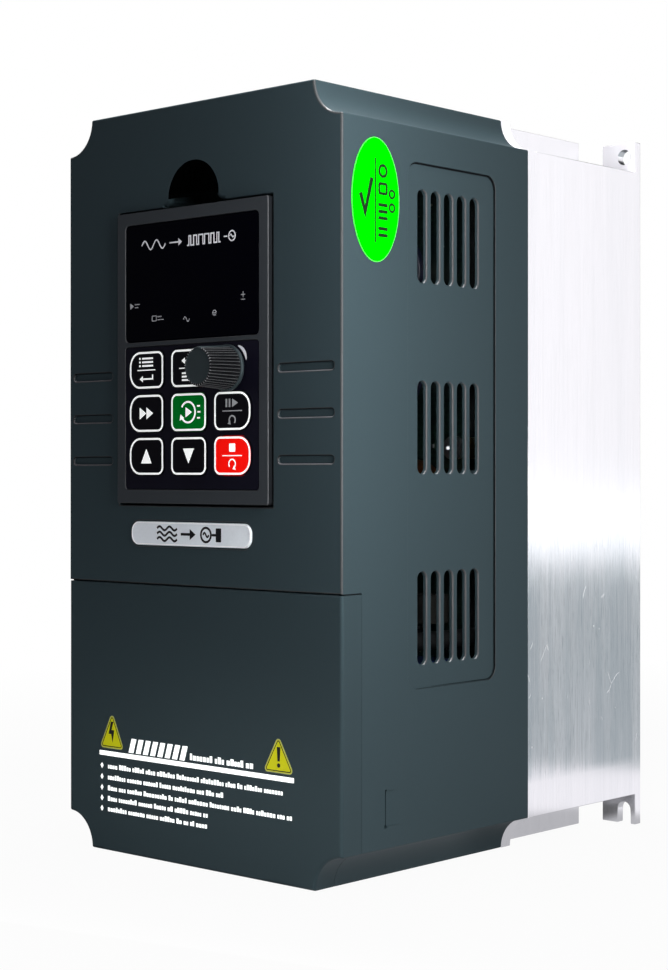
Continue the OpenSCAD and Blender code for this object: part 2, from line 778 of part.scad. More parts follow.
module potentiometer() {
  color([0.25, 0.26, 0.28]) at(knob_centre) difference() {
    union() {
      block(12.8, 12.8, y_keypad + 3.2, y_keypad_board);
      rod(3.9, y_keypad + 0.3, y_keypad + 3.3);
    }
    rod(3.05, y_keypad - cut, y_keypad_board - 1.5);
  }
}
module keypad_plug() {
  color(connector_black) at(plug_centre) block(18, 7, y_keypad_board + 1.6, -141);
}
// driven forward from the rear of the keypad
module keypad_screws() {
  color(steel) at_each(keypad_screw_points) difference() {
    union() {
      rod(2.1, y_keypad_back - 0.85, y_keypad_back - 0.05);
      rod(1.1, y_keypad_board - 4, y_keypad_back - 0.8);
    }
    cross_slot(2.8, 0.5, y_keypad_back - 0.5, y_keypad_back + cut);
  }
}
module speed_knob() {
  ring_depth = 1.3;
  bevel = 0.6;
  rear_radius = knob_radius - 0.4;    // tapered grip, rear end
  front_radius = knob_radius - 1.3;   // tapered grip, front end
  y_base = y_keypad - 0.4;
  y_tip = y_base - knob_length;
  y_grip = y_base - ring_depth;
  taper = atan((rear_radius - front_radius)/(knob_length - ring_depth - bevel));
  color([0.20, 0.22, 0.23]) at(knob_centre) difference() {
    union() {
      rod(knob_radius, y_grip, y_base);
      rod(rear_radius, y_tip + bevel, y_grip + overlap, front_radius);
      rod(front_radius, y_tip, y_tip + bevel + 0.02, front_radius - bevel);
    }
    // shaft bore and the recess in the rear face
    rod(3.02, y_tip + 2.5, y_base + cut);
    rod(5, y_base - 0.6, y_base + cut);
    // grip flutes down the taper, left out on top where the pointer line is
    translate([0, y_grip, 0]) for (i = [3 : 46]) rotate([0, (i - 0.5)*360/48, 0])
      translate([0, 0, knob_radius - 0.3]) rotate([90 + taper, 0, 0])
        cylinder(h = knob_length + 2, r = 0.34, $fn = 16);
  }
}
module pot_shaft() {
  color([0.70, 0.71, 0.73]) at(knob_centre)
    rod(3, y_keypad - knob_length + 2.3, y_keypad_board - 1.7);
}

// ---------- keys ----------
module button(column, row) {
  y_rim = y_plate + 0.1;
  at_key(column, row) {
    along_y(y_keypad - 0.4, y_rim + overlap) key_outline(column);
    // retaining flange behind the front plate
    along_y(y_rim, y_rim + 0.8) key_outline(column, wider = 1.4, taller = 1.2, rounder = 0.6);
    // stem towards the switch
    rod(2, y_rim + 0.7, y_keypad_board - 4.8);
  }
}
module button_menu() { color(key_black) button(0, 0); }
module button_enter() { color(key_black) button(1, 0); }
module button_shift() { color(key_black) button(0, 1); }
module button_run() { color([0.00, 0.42, 0.16]) button(1, 1); }
module button_jog() { color(key_black) button(2, 1); }
module button_up() { color(key_black) button(0, 2); }
module button_down() { color(key_black) button(1, 2); }
module button_stop() { color([0.95, 0.06, 0.06]) button(2, 2); }

heatsink();
main_housing();
terminal_cover();
board_carrier();
power_board();
standoffs();
power_board_screws();
thermal_pad();
power_module();
power_module_screws();
bus_capacitors();
rectifier_bridge();
rectifier_screw();
precharge_resistor();
precharge_relay();
flyback_transformer();
common_mode_choke();
current_sensors();
power_terminal_block();
power_terminal_screws();
ground_screw();
control_board();
control_board_screws();
control_terminal_block();
control_terminal_screws();
keypad_socket();
ribbon_cable();
fan_frame_left();
fan_frame_right();
fan_rotor_left();
fan_rotor_right();
fan_tray();
fan_guards();
fan_cables();
housing_screws();
rating_plate();
inspection_sticker();
cable_grommets();
keypad_frame();
keypad_back();
display_window();
keypad_overlay();
keypad_board();
led_display();
tact_switches();
potentiometer();
keypad_plug();
keypad_screws();
speed_knob();
pot_shaft();
button_menu();
button_enter();
button_shift();
button_run();
button_jog();
button_up();
button_down();
button_stop();
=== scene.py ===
"""A wall-mounted motor drive: housing, terminal cover, keypad, heatsink and boards.

It stands upright: the front looks along -Y, +X is its right side wall, +Z is up.
Shapes are written in millimetres and scaled by MM; the stage is in metres.
"""
import math
import random

import bmesh
import bpy
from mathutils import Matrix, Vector
from mathutils.geometry import tessellate_polygon


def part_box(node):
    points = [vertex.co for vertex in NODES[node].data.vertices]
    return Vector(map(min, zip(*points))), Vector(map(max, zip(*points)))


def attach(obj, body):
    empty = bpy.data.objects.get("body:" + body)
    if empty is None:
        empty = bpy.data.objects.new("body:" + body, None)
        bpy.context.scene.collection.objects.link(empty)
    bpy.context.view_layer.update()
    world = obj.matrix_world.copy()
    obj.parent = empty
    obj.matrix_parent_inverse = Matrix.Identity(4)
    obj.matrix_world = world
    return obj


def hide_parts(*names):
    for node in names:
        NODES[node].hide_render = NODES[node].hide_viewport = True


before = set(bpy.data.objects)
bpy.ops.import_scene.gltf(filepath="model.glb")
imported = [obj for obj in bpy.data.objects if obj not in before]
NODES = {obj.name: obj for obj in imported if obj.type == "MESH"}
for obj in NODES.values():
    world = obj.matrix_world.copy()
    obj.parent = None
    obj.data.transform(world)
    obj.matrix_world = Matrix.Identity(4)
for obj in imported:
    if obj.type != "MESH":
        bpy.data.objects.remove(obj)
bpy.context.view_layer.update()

MM = 0.001
RAD = math.radians


# ------------------------------------------------------------------ shader graphs
class Graph:
    """Short wrappers for building a node tree."""

    def __init__(self, tree):
        self.tree = tree

    def add(self, kind, inputs=(), **props):
        """A new node; inputs maps sockets to values or to the outputs that feed them."""
        node = self.tree.nodes.new(kind)
        for prop, value in props.items():
            setattr(node, prop, value)
        for socket, value in dict(inputs).items():
            self.feed(node.inputs[socket], value)
        return node

    def feed(self, socket, value):
        if isinstance(value, bpy.types.NodeSocket):
            self.tree.links.new(value, socket)
        elif hasattr(value, "__len__") and len(value) == 3 and socket.type == "RGBA":
            socket.default_value = (*value, 1)
        else:
            socket.default_value = value

    def ramp(self, fac, *stops):
        """Colour ramp; each stop is (position, grey or colour)."""
        node = self.add("ShaderNodeValToRGB", {0: fac})
        elements = node.color_ramp.elements
        while len(elements) < len(stops):
            elements.new(0.5)
        for element, (position, tone) in zip(elements, stops):
            element.position = position
            element.color = (*tone, 1) if hasattr(tone, "__len__") else (tone, tone, tone, 1)
        return node.outputs[0]

    def blend_shaders(self, fac, first, second):
        return self.add("ShaderNodeMixShader", {0: fac, 1: first, 2: second}).outputs[0]


class Mat(Graph):
    """A material built round its Principled node, textured in object coordinates."""

    def __init__(self, name):
        self.material = bpy.data.materials.new(name)
        self.material.use_nodes = True
        super().__init__(self.material.node_tree)
        self.bsdf = next(n for n in self.tree.nodes if n.type == "BSDF_PRINCIPLED")
        self.coords = self.add("ShaderNodeTexCoord").outputs["Object"]

    def finish(self, **values):
        """Sets the Principled inputs and returns the material."""
        for key, value in values.items():
            self.feed(self.bsdf.inputs[key.replace("_", " ")], value)
        return self.material

    def mapping(self, scale=(1, 1, 1), rot=(0, 0, 0), loc=(0, 0, 0)):
        return self.add("ShaderNodeMapping", {"Vector": self.coords, "Scale": scale,
                                              "Rotation": rot, "Location": loc}).outputs[0]

    def noise(self, scale, detail=2.0, rough=0.5, vec=None, out=0):
        return self.add("ShaderNodeTexNoise", {"Vector": vec or self.coords, "Scale": scale,
                                               "Detail": detail, "Roughness": rough}).outputs[out]

    def voronoi(self, scale, vec=None, feature="F1"):
        return self.add("ShaderNodeTexVoronoi", {"Vector": vec or self.coords, "Scale": scale},
                        feature=feature).outputs["Distance"]

    def mix(self, fac, first, second, blend="MIX"):
        return self.add("ShaderNodeMix", {0: fac, 6: first, 7: second},
                        data_type="RGBA", blend_type=blend).outputs[2]

    def math(self, operation, first, second):
        return self.add("ShaderNodeMath", {0: first, 1: second}, operation=operation).outputs[0]

    def times(self, first, second):
        return self.math("MULTIPLY", first, second)

    def span(self, fac, low, high):
        return self.add("ShaderNodeMapRange", {0: fac, 3: low, 4: high}).outputs[0]

    def bump(self, height, dist, strength, normal=None):
        inputs = {"Strength": strength, "Distance": dist, "Height": height}
        if normal is not None:
            inputs["Normal"] = normal
        return self.add("ShaderNodeBump", inputs).outputs[0]

    def axis(self, which):
        return self.add("ShaderNodeSeparateXYZ", {0: self.coords}).outputs[which]


def shade(colour, factor):
    return tuple(min(1.0, x * factor) for x in colour)


# ------------------------------------------------------------------ kinds of material
UNTINTED = (1, 1, 1)


def moulded(name, colour, rough, grain, var, scale, spec, tint=UNTINTED, coat=0.0):
    """Moulded plastic: fine eroded grain, faint flow clouds, slight change of gloss."""
    mat = Mat(name)
    slow = mat.noise(scale=14, detail=3)
    fine = mat.noise(scale=scale * 1.7, rough=0.6)
    clouds = mat.mix(mat.ramp(slow, (0.25, 0.0), (0.75, 1.0)),
                     shade(colour, 1 - var * 0.12), shade(colour, 1 + var * 0.12))
    speck = mat.ramp(fine, (0.3, 1 - var * 0.3), (0.5, 1.0), (0.72, 1 + var * 0.3))
    return mat.finish(
        Base_Color=mat.mix(1.0, clouds, speck, "MULTIPLY"),
        Roughness=mat.span(slow, rough - 0.025, rough + 0.025),
        Specular_IOR_Level=spec, Specular_Tint=tint, Coat_Weight=coat, Coat_Roughness=0.3,
        Normal=mat.bump(fine, dist=0.000012 * grain, strength=0.3))


def extruded_aluminium(name):
    """Extruded aluminium: drawn lines, short dark streaks, duller bands, scratches and nicks."""
    mat = Mat(name)
    colour = (0.93, 0.925, 0.95)
    lines = mat.noise(scale=1.0, detail=4, rough=0.7, vec=mat.mapping((2300, 2300, 16)))
    streak = mat.noise(scale=1.0, detail=3, rough=0.8,
                       vec=mat.mapping((2300, 2300, 120), loc=(3, 1, 2)))
    band_noise = mat.noise(scale=1.0, detail=3, rough=0.6,
                           vec=mat.mapping((150, 150, 7), loc=(1, 5, 3)))
    patch = mat.noise(scale=1.0, detail=4, rough=0.65, vec=mat.mapping((70, 70, 26)))
    # streaks, bands, patches and marks by height: little at the very foot and towards the top, so
    # the lower part is darker
    low = mat.ramp(mat.math("ADD", mat.times(mat.axis(2), 5.0), 0.5),
                   (0.0, 0.12), (0.015, 1.0), (0.32, 1.0), (0.44, 0.10))
    # scratches along warped cell borders, nicks at cell centres, both only in patches
    warped = mat.add("ShaderNodeVectorMath",
                     {0: mat.mapping((70, 70, 46), rot=(0.5, 0.1, 0.2)),
                      1: mat.noise(scale=42, out="Color")}, operation="ADD").outputs[0]
    scratch = mat.voronoi(scale=1.0, vec=warped, feature="DISTANCE_TO_EDGE")
    scratch = mat.times(mat.ramp(scratch, (0.003, 1.0), (0.012, 0.0)),
                        mat.ramp(mat.noise(scale=85), (0.60, 0.0), (0.66, 1.0)))
    nick = mat.times(mat.ramp(mat.voronoi(scale=330), (0.07, 1.0), (0.13, 0.0)),
                     mat.ramp(mat.noise(scale=70), (0.63, 0.0), (0.67, 1.0)))
    mark = mat.times(mat.math("MAXIMUM", scratch, nick), low)
    dark = mat.times(mat.ramp(streak, (0.34, 1.0), (0.50, 0.0)),
                     mat.ramp(patch, (0.36, 0.35), (0.60, 1.0)))
    # layers from the bare metal up: lines, streaks, bands, patches, marks
    col = mat.mix(mat.times(mat.ramp(lines, (0.32, 1.0), (0.60, 0.0)), mat.span(low, 0.25, 1.0)),
                  colour, shade(colour, 0.84))
    col = mat.mix(mat.times(mat.times(dark, 0.62), low), col, (0.36, 0.39, 0.41))
    col = mat.mix(mat.times(mat.ramp(band_noise, (0.38, 0.0), (0.62, 0.55)), low),
                  col, (0.56, 0.605, 0.645))
    col = mat.mix(mat.times(mat.ramp(patch, (0.45, 0.0), (0.75, 0.35)), low),
                  col, (0.66, 0.71, 0.74))
    col = mat.mix(mat.times(mark, 0.75), col, (1.0, 1.0, 1.0))
    return mat.finish(
        Base_Color=col, Metallic=0.98, Anisotropic=0.8,
        Roughness=mat.math("ADD", mat.span(lines, 0.15, 0.21), mat.times(mark, 0.25)),
        Normal=mat.bump(lines, dist=0.00002, strength=0.25,
                        normal=mat.bump(mark, dist=0.00004, strength=0.5)))


def metal(name, colour, rough, scale, var, dull, metallic=1.0):
    """Plated or turned metal with fine machining marks and finger-dulled patches."""
    mat = Mat(name)
    fine = mat.noise(scale=scale, detail=3, rough=0.6)
    slow = mat.noise(scale=90, detail=3, rough=0.6)
    col = mat.mix(fine, shade(colour, 1 - var), shade(colour, 1 + var))
    col = mat.mix(mat.ramp(slow, (0.45, 0.0), (0.75, dull)), col, shade(colour, 0.6))
    return mat.finish(Base_Color=col, Metallic=metallic,
                      Roughness=mat.span(slow, rough - 0.08, rough + 0.14),
                      Normal=mat.bump(fine, dist=0.00003, strength=0.4))


def film(name, colour, rough, var, coat, spec, painted_glow=0.0):
    """Printed polyester film: near-flat colour, faint orange peel, dust in the gloss."""
    mat = Mat(name)
    slow = mat.noise(scale=45, detail=3)
    dust = mat.ramp(mat.voronoi(scale=900), (0.03, 0.03), (0.07, 0.0))
    col = mat.mix(slow, shade(colour, 1 - var), shade(colour, 1 + var))
    col = mat.mix(dust, col, (0.25, 0.26, 0.28))
    # painted_glow is painted light: the film emits its own colour
    return mat.finish(
        Base_Color=col, Roughness=mat.span(slow, rough - 0.06, rough + 0.08),
        Coat_Weight=coat, Coat_Roughness=0.12, Specular_IOR_Level=spec,
        Normal=mat.bump(mat.noise(scale=520), dist=0.00002, strength=0.35),
        Emission_Color=col, Emission_Strength=painted_glow)


def ink(name, colour, cover=0.92, painted_glow=0.0):
    """Screen-printed ink: slightly uneven cover with pinholes."""
    mat = Mat(name)
    fine = mat.noise(scale=1300, detail=3, rough=0.7)
    slow = mat.noise(scale=160, detail=3)
    col = mat.mix(mat.ramp(fine, (0.28, 1 - cover), (0.5, 0.0)), colour, shade(colour, 0.55))
    col = mat.mix(mat.ramp(slow, (0.4, 0.0), (0.8, 0.15)), col, shade(colour, 0.8))
    # painted_glow is painted light: the ink emits its own colour
    return mat.finish(Base_Color=col, Roughness=mat.span(slow, 0.37, 0.53),
                      Specular_IOR_Level=0.12, Emission_Color=col, Emission_Strength=painted_glow,
                      Normal=mat.bump(fine, dist=0.00001, strength=0.4))


def laminate(name, colour):
    """Circuit board: solder mask over copper tracks and planes, with vias."""
    mat = Mat(name)
    parts = mat.add("ShaderNodeSeparateXYZ", {0: mat.mapping()}).outputs
    flat = mat.add("ShaderNodeCombineXYZ", {0: parts[0], 1: parts[2]}).outputs[0]
    grid = mat.add("ShaderNodeTexBrick",
                   {"Vector": flat, "Scale": 130, "Mortar Size": 0.035, "Color1": (0, 0, 0),
                    "Color2": (0.25, 0.25, 0.25), "Mortar": (1, 1, 1)}, offset=0.37)
    dots = mat.ramp(mat.voronoi(scale=260, vec=flat), (0.10, 1.0), (0.14, 0.0))
    keep = mat.ramp(mat.noise(scale=60, detail=3), (0.42, 0.0), (0.5, 1.0))
    track = mat.times(grid.outputs[0], keep)
    via = mat.times(dots, mat.ramp(mat.noise(scale=95, detail=1), (0.5, 0.0), (0.56, 1.0)))
    col = mat.mix(mat.ramp(mat.noise(scale=40), (0.3, 0.0), (0.7, 1.0)),
                  shade(colour, 0.75), shade(colour, 1.2))
    col = mat.mix(track, col, shade(colour, 2.2))
    col = mat.mix(via, col, (0.30, 0.28, 0.22))
    return mat.finish(Base_Color=col, Roughness=mat.span(mat.noise(scale=300), 0.25, 0.4),
                      Metallic=mat.times(via, 0.9), Coat_Weight=0.3,
                      Normal=mat.bump(mat.math("ADD", track, via), dist=0.00005, strength=0.6))


def wound(name, colour):
    """Enamelled copper winding: close turns seen as fine ridges."""
    mat = Mat(name)
    turns = mat.add("ShaderNodeTexWave", {"Vector": mat.mapping(loc=(-0.027, 0, 0.010)),
                                          "Scale": 190, "Distortion": 0.6},
                    wave_type="RINGS", rings_direction="Y").outputs[1]
    return mat.finish(Base_Color=mat.mix(turns, shade(colour, 0.35), shade(colour, 1.2)),
                      Metallic=0.8, Roughness=mat.span(mat.noise(scale=200), 0.25, 0.4),
                      Coat_Weight=0.5, Normal=mat.bump(turns, dist=0.0003, strength=0.7))


# ------------------------------------------------------------------ materials
PLASTIC = (0.0222, 0.0345, 0.0400)
COOL = (0.62, 0.95, 1.0)

# name, colour, roughness, bump depth, colour variation, grain scale, specular [, tint, coat]
PLASTICS = {
    "housing": ("housing_plastic", PLASTIC, 0.50, 1.0, 0.10, 1500, 0.15, COOL),
    "cover": ("cover_plastic", shade(PLASTIC, 0.92), 0.48, 1.0, 0.10, 1500, 0.15, COOL),
    "frame": ("keypad_plastic", (0.0275, 0.0315, 0.0360), 0.46, 0.9, 0.10, 1300, 0.18,
              (0.8, 0.95, 1.0)),
    "black": ("black_plastic", (0.012, 0.012, 0.013), 0.45, 0.8, 0.15, 1200, 0.4),
    "knob": ("knob_plastic", (0.016, 0.023, 0.026), 0.42, 0.8, 0.14, 1400, 0.30,
             (0.8, 0.97, 1.0)),
    # knob_groove, knob_ridge, knob_tip: copies of the knob plastic, painted shade in the flutes and
    # painted highlights on the ridges and the front rim's serrations
    "knob_groove": ("knob_groove", (0.0030, 0.0032, 0.0040), 0.55, 0.8, 0.2, 1400, 0.08),
    "knob_ridge": ("knob_ridge", (0.046, 0.048, 0.051), 0.36, 0.8, 0.14, 1400, 0.45),
    "knob_tip": ("knob_tip", (0.26, 0.27, 0.28), 0.36, 0.8, 0.14, 1400, 0.45),
    # frame_side_shade: painted shade, a darker copy of the keypad plastic for the bezel's sides
    "frame_side_shade": ("keypad_side", (0.0075, 0.0085, 0.0100), 0.5, 0.9, 0.10, 1300, 0.06),
    # edge: painted highlight, a lighter copy of the housing plastic for front-facing rounded edges
    "edge": ("burnished_edge", (0.030, 0.033, 0.035), 0.38, 0.6, 0.12, 1500, 0.22),
    # bezel_edge: painted highlight, a lighter copy of the keypad plastic for the bezel's rounded
    # edges
    "bezel_edge": ("bezel_edge", (0.040, 0.043, 0.047), 0.38, 0.6, 0.12, 1500, 0.3),
    # vent_edge: painted highlight on the vent mouths; vent_glint: brighter painted glint at their
    # lower ends
    "vent_edge": ("vent_edge", (0.038, 0.037, 0.039), 0.42, 0.6, 0.12, 1500, 0.35),
    "vent_glint": ("vent_glint", (0.17, 0.175, 0.185), 0.32, 0.6, 0.12, 1500, 0.5),
    "groove_light": ("groove_light", (0.135, 0.132, 0.140), 0.36, 0.6, 0.12, 1500, 0.3),
    "groove_shade": ("groove_shade", (0.006, 0.007, 0.009), 0.55, 0.6, 0.12, 1500, 0.08),
    # near-black painted shade for the recess walls, the shadow line round the vent field and the
    # joint lip
    "recess_wall": ("recess_wall", (0.0030, 0.0036, 0.0046), 0.6, 0.6, 0.12, 1500, 0.05),
    "rubber": ("rubber", (0.010, 0.010, 0.010), 0.72, 1.6, 0.2, 700, 0.3),
    "pad": ("thermal_rubber", (0.42, 0.43, 0.46), 0.75, 1.4, 0.1, 900, 0.3),
    "cap_sleeve": ("capacitor_sleeve", (0.006, 0.008, 0.024), 0.34, 0.3, 0.18, 500, 0.35,
                   UNTINTED, 0.1),
    # ceramic and deep: darkened below their real tone as painted shade inside the housing
    "ceramic": ("cement", (0.013, 0.013, 0.012), 0.85, 2.2, 0.10, 1100, 0.2),
    "deep": ("deep_black", (0.0030, 0.0032, 0.0036), 0.6, 0.8, 0.2, 1200, 0.08),
    # milled: partly a real matt finish, partly painted light, a pale non-metallic copy of the
    # aluminium
    "milled": ("milled_aluminium", (0.66, 0.655, 0.69), 0.40, 0.8, 0.04, 1500, 0.5),
    "blue": ("blue_plastic", (0.008, 0.022, 0.090), 0.4, 0.6, 0.12, 1200, 0.4),
    "terminal_green": ("terminal_green", (0.012, 0.16, 0.055), 0.42, 0.6, 0.12, 1200, 0.4),
    "ribbon": ("ribbon_grey", (0.34, 0.35, 0.38), 0.4, 0.5, 0.10, 1000, 0.4),
    "lead_red": ("lead_red", (0.40, 0.012, 0.012), 0.35, 0.4, 0.12, 1000, 0.4),
}
# name, colour, roughness, colour variation, coat, specular [, painted glow]
FILMS = {
    "window": ("window_gloss", (0.0001, 0.0001, 0.0016), 0.07, 0.3, 0.0, 0.012),
    "overlay": ("overlay_film", (0.0044, 0.0042, 0.0092), 0.33, 0.3, 0.0, 0.045),
    "key": ("key_film", (0.0020, 0.0018, 0.0036), 0.36, 0.3, 0.0, 0.06),
    "key_green": ("key_film_green", (0.0002, 0.170, 0.017), 0.42, 0.10, 0.0, 0.0, 0.03),
    "key_red": ("key_film_red", (0.95, 0.0060, 0.0030), 0.42, 0.06, 0.0, 0.02, 0.16),
    "green_label": ("label_green", (0.0, 0.40, 0.0), 0.5, 0.03, 0.0, 0.0, 0.10),
    # label_rim: painted highlight round the sticker's edge
    "label_rim": ("label_rim", (0.10, 0.72, 0.10), 0.4, 0.05, 0.0, 0.05),
    "tape": ("film_tape", (0.20, 0.13, 0.015), 0.25, 0.15, 0.3, 0.3),
}
# name, colour [, cover, painted glow]
INKS = {
    "white": ("ink_white", (0.87, 0.90, 0.88), 0.92, 0.46),
    "cover_white": ("ink_cover_white", (0.90, 0.93, 0.91), 0.92, 0.60),
    "soft_white": ("ink_soft_white", (0.62, 0.63, 0.66), 0.92, 0.1),
    "dim_white": ("ink_dim_white", (0.36, 0.37, 0.39)),
    "black_ink": ("ink_black", (0.006, 0.006, 0.007)),
    "yellow": ("ink_yellow", (0.52, 0.525, 0.0005), 0.985),
    "yellow_rim": ("ink_yellow_rim", (0.34, 0.37, 0.13)),
    "sticker_ink": ("ink_label", (0.0015, 0.012, 0.002), 0.99),
}
# name, colour, roughness, grain scale, colour variation, dulling [, metallic]
METALS = {
    "plate": ("plate_silver", (0.73, 0.785, 0.825), 0.42, 1500, 0.06, 0.2, 0.10),
    # plate_rim: painted highlight along the plate's edge
    "plate_rim": ("plate_rim", (0.95, 0.97, 1.0), 0.3, 1500, 0.04, 0.1, 0.1),
    "steel": ("zinc_steel", (0.70, 0.71, 0.74), 0.28, 1400, 0.10, 0.35),
    "shaft": ("turned_steel", (0.62, 0.63, 0.65), 0.25, 2200, 0.12, 0.2),
    "brass": ("brass", (0.70, 0.50, 0.20), 0.26, 1400, 0.10, 0.3),
    "tin": ("tinned_leads", (0.34, 0.34, 0.35), 0.30, 1400, 0.08, 0.2),
}
MATS = {
    "alu": extruded_aluminium("extruded_aluminium"),
    "pcb": laminate("circuit_board", (0.0020, 0.0068, 0.0048)),
    "winding": wound("copper_winding", (0.26, 0.085, 0.022)),
}
for maker, rows in ((moulded, PLASTICS), (film, FILMS), (ink, INKS), (metal, METALS)):
    MATS.update({key: maker(*row) for key, row in rows.items()})


# ------------------------------------------------------------------ dimensions from the model
def box_mm(node):
    low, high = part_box(node)
    return low / MM, high / MM


def middle(low, high):
    return (low.x + high.x) / 2, (low.y + high.y) / 2, (low.z + high.z) / 2


KEYPAD_LO, KEYPAD_HI = box_mm("keypad_frame")
KEYPAD_X, _, KEYPAD_Z = middle(KEYPAD_LO, KEYPAD_HI)
HOUSING_LO, HOUSING_HI = box_mm("main_housing")
COVER_LO, COVER_HI = box_mm("terminal_cover")
SINK_Y = box_mm("heatsink")[0].y
FRONT_Y = HOUSING_LO.y
HALF_WIDTH, TOP_Z = HOUSING_HI.x, HOUSING_HI.z
COVE = 11.3             # how far the corner coves cut into the outline
PART_Z = COVER_HI.z     # joint between cover and housing

# sunk field with the vent slots in both side walls
FIELD_X = HALF_WIDTH - 0.6
FIELD_Y = (FRONT_Y + 30.5, FRONT_Y + 74.8)
FIELD_MID_Z, FIELD_HALF_Z = 18.4, 81.9
FIELD_CORNER = 4.5


# ------------------------------------------------------------------ mesh tools
def crisp(edge, limit):
    """Edges not to shade across: real corners, and the shallow folds where drafts fade out."""
    if len(edge.link_faces) != 2:
        return True
    angle = math.degrees(edge.calc_face_angle(0.0))
    return angle > limit or 0.5 < angle < 2.2


def mark_sharp(shape, limit):
    for edge in shape.edges:
        edge.smooth = not crisp(edge, limit)
    for face in shape.faces:
        face.smooth = True


def add_object(name, data):
    obj = bpy.data.objects.new(name, data)
    bpy.context.scene.collection.objects.link(obj)
    return obj


def to_object(name, shape):
    mesh = bpy.data.meshes.new(name)
    shape.to_mesh(mesh)
    shape.free()
    return add_object(name, mesh)


def new_piece(name, shape, mats, body, stands_for=(), smooth=32, weld=True):
    """Turns a bmesh into a piece with area-weighted normals that rides on its body."""
    if weld:
        bmesh.ops.remove_doubles(shape, verts=shape.verts, dist=1e-7)
    bmesh.ops.recalc_face_normals(shape, faces=shape.faces)
    mark_sharp(shape, smooth)
    obj = to_object(name, shape)
    for mat in mats if isinstance(mats, (list, tuple)) else [mats]:
        obj.data.materials.append(mat)
    weighted = obj.modifiers.new("weighted", "WEIGHTED_NORMAL")
    weighted.keep_sharp = True
    weighted.mode = "FACE_AREA"
    weighted.weight = 60
    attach(obj, body)
    if stands_for:
        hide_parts(*stands_for)


def from_node(node):
    """The node's own surface as a clean bmesh: welded, coplanar triangles merged."""
    shape = bmesh.new()
    shape.from_mesh(NODES[node].data)
    bmesh.ops.remove_doubles(shape, verts=shape.verts, dist=3e-6)
    bmesh.ops.dissolve_degenerate(shape, edges=shape.edges, dist=2e-6)
    bmesh.ops.dissolve_limit(shape, angle_limit=RAD(0.4), verts=shape.verts, edges=shape.edges,
                             use_dissolve_boundaries=False)
    return shape


def takes_painted_highlight(mid, normal):
    """Whether a rounded edge gets the painted highlight: not if it faces back, nor at scoop or top
    edge.
    """
    if normal.y > -0.15:
        return False
    if mid.z > 88.4 and abs(mid.x - KEYPAD_X) < 33 and mid.y < -145:
        return False
    return not (normal.z > 0.25 and abs(normal.x) < 0.3 and mid.z > TOP_Z - 2)


def rounded(name, node, rule, mat, body, seg=2, edge=None, side=None, zones=(),
            split=None):
    """The node's shape with its edges rounded: rule(edge) gives each sharp edge's radius in mm.

    edge is a material for the rounded edges, side one for what does not face forwards;
    zones holds (material, test(centre, normal, on an edge)) pairs;
    split is a height in mm at which faces are cut, so a test can tell above from below."""
    shape = from_node(node)
    floats = shape.edges.layers.float
    layer = floats.get("bevel_weight_edge") or floats.new("bevel_weight_edge")
    picked = [(e, rule(e)) for e in shape.edges
              if len(e.link_faces) == 2 and e.calc_face_angle(0.0) > RAD(28)]
    widest = max((radius for _, radius in picked), default=0)
    for picked_edge, radius in picked:
        if radius:
            picked_edge[layer] = radius / widest
    mark_sharp(shape, 32)
    raw = to_object(name + "_raw", shape)
    if widest:
        bevel = raw.modifiers.new("bevel", "BEVEL")
        bevel.limit_method = "WEIGHT"
        bevel.width = widest * MM
        bevel.segments = seg
        bevel.use_clamp_overlap = False
        bevel.loop_slide = False
        bevel.miter_outer = "MITER_SHARP"
        if edge:
            raw.data.materials.append(mat)
            raw.data.materials.append(edge)
            bevel.material = 1
    depsgraph = bpy.context.evaluated_depsgraph_get()
    out = bmesh.new()
    out.from_mesh(raw.evaluated_get(depsgraph).to_mesh())
    bpy.data.objects.remove(raw)
    if split is not None:
        bmesh.ops.bisect_plane(out, geom=out.verts[:] + out.edges[:] + out.faces[:], dist=1e-7,
                               plane_co=(0, 0, split * MM), plane_no=(0, 0, 1))
    out.normal_update()
    mats = [mat]

    def paint(new_mat, test):
        mats.append(new_mat)
        for face in out.faces:
            if test(face.calc_center_median() / MM, face.normal, face.material_index == 1):
                face.material_index = len(mats) - 1

    # front-facing rounded edges keep the edge material, a painted highlight; the rest go back to
    # the body material
    if edge:
        mats.append(edge)
        for face in out.faces:
            mid = face.calc_center_median() / MM
            if face.material_index == 1 and not takes_painted_highlight(mid, face.normal):
                face.material_index = 0
    if side:
        paint(side, lambda mid, normal, bevelled: normal.y > -0.75 and not (
            edge and bevelled and normal.x > 0.25 and normal.y < -0.2))
    for zone_mat, test in zones:
        paint(zone_mat, test)
    new_piece(name, out, mats, body, (node,))


# ------------------------------------------------------------------ 2D outlines
def tidy(points, eps=1e-4):
    """Drops points that repeat the one before."""
    out = []
    for point in points:
        if not out or (point - out[-1]).length > eps:
            out.append(point)
    while len(out) > 2 and (out[0] - out[-1]).length <= eps:
        out.pop()
    return out


def left_of(direction):
    return Vector((-direction.y, direction.x))


def inset(loop, dist):
    """Moves a closed loop to its left by dist (inwards for an anticlockwise loop)."""
    out = []
    for i, here in enumerate(loop):
        before = left_of((here - loop[i - 1]).normalized())
        mitre = before + left_of((loop[(i + 1) % len(loop)] - here).normalized())
        if mitre.length < 1e-6:
            mitre = before
        mitre.normalize()
        out.append(here + mitre * (dist / max(0.35, mitre.dot(before))))
    return out


def arc(x, y, radius, start, end, steps):
    angles = [RAD(start + (end - start) * i / steps) for i in range(steps + 1)]
    return [Vector((x + radius * math.cos(t), y + radius * math.sin(t))) for t in angles]


def circle(x, y, radius, steps=28):
    return arc(x, y, radius, 0, 360, steps)[:-1]


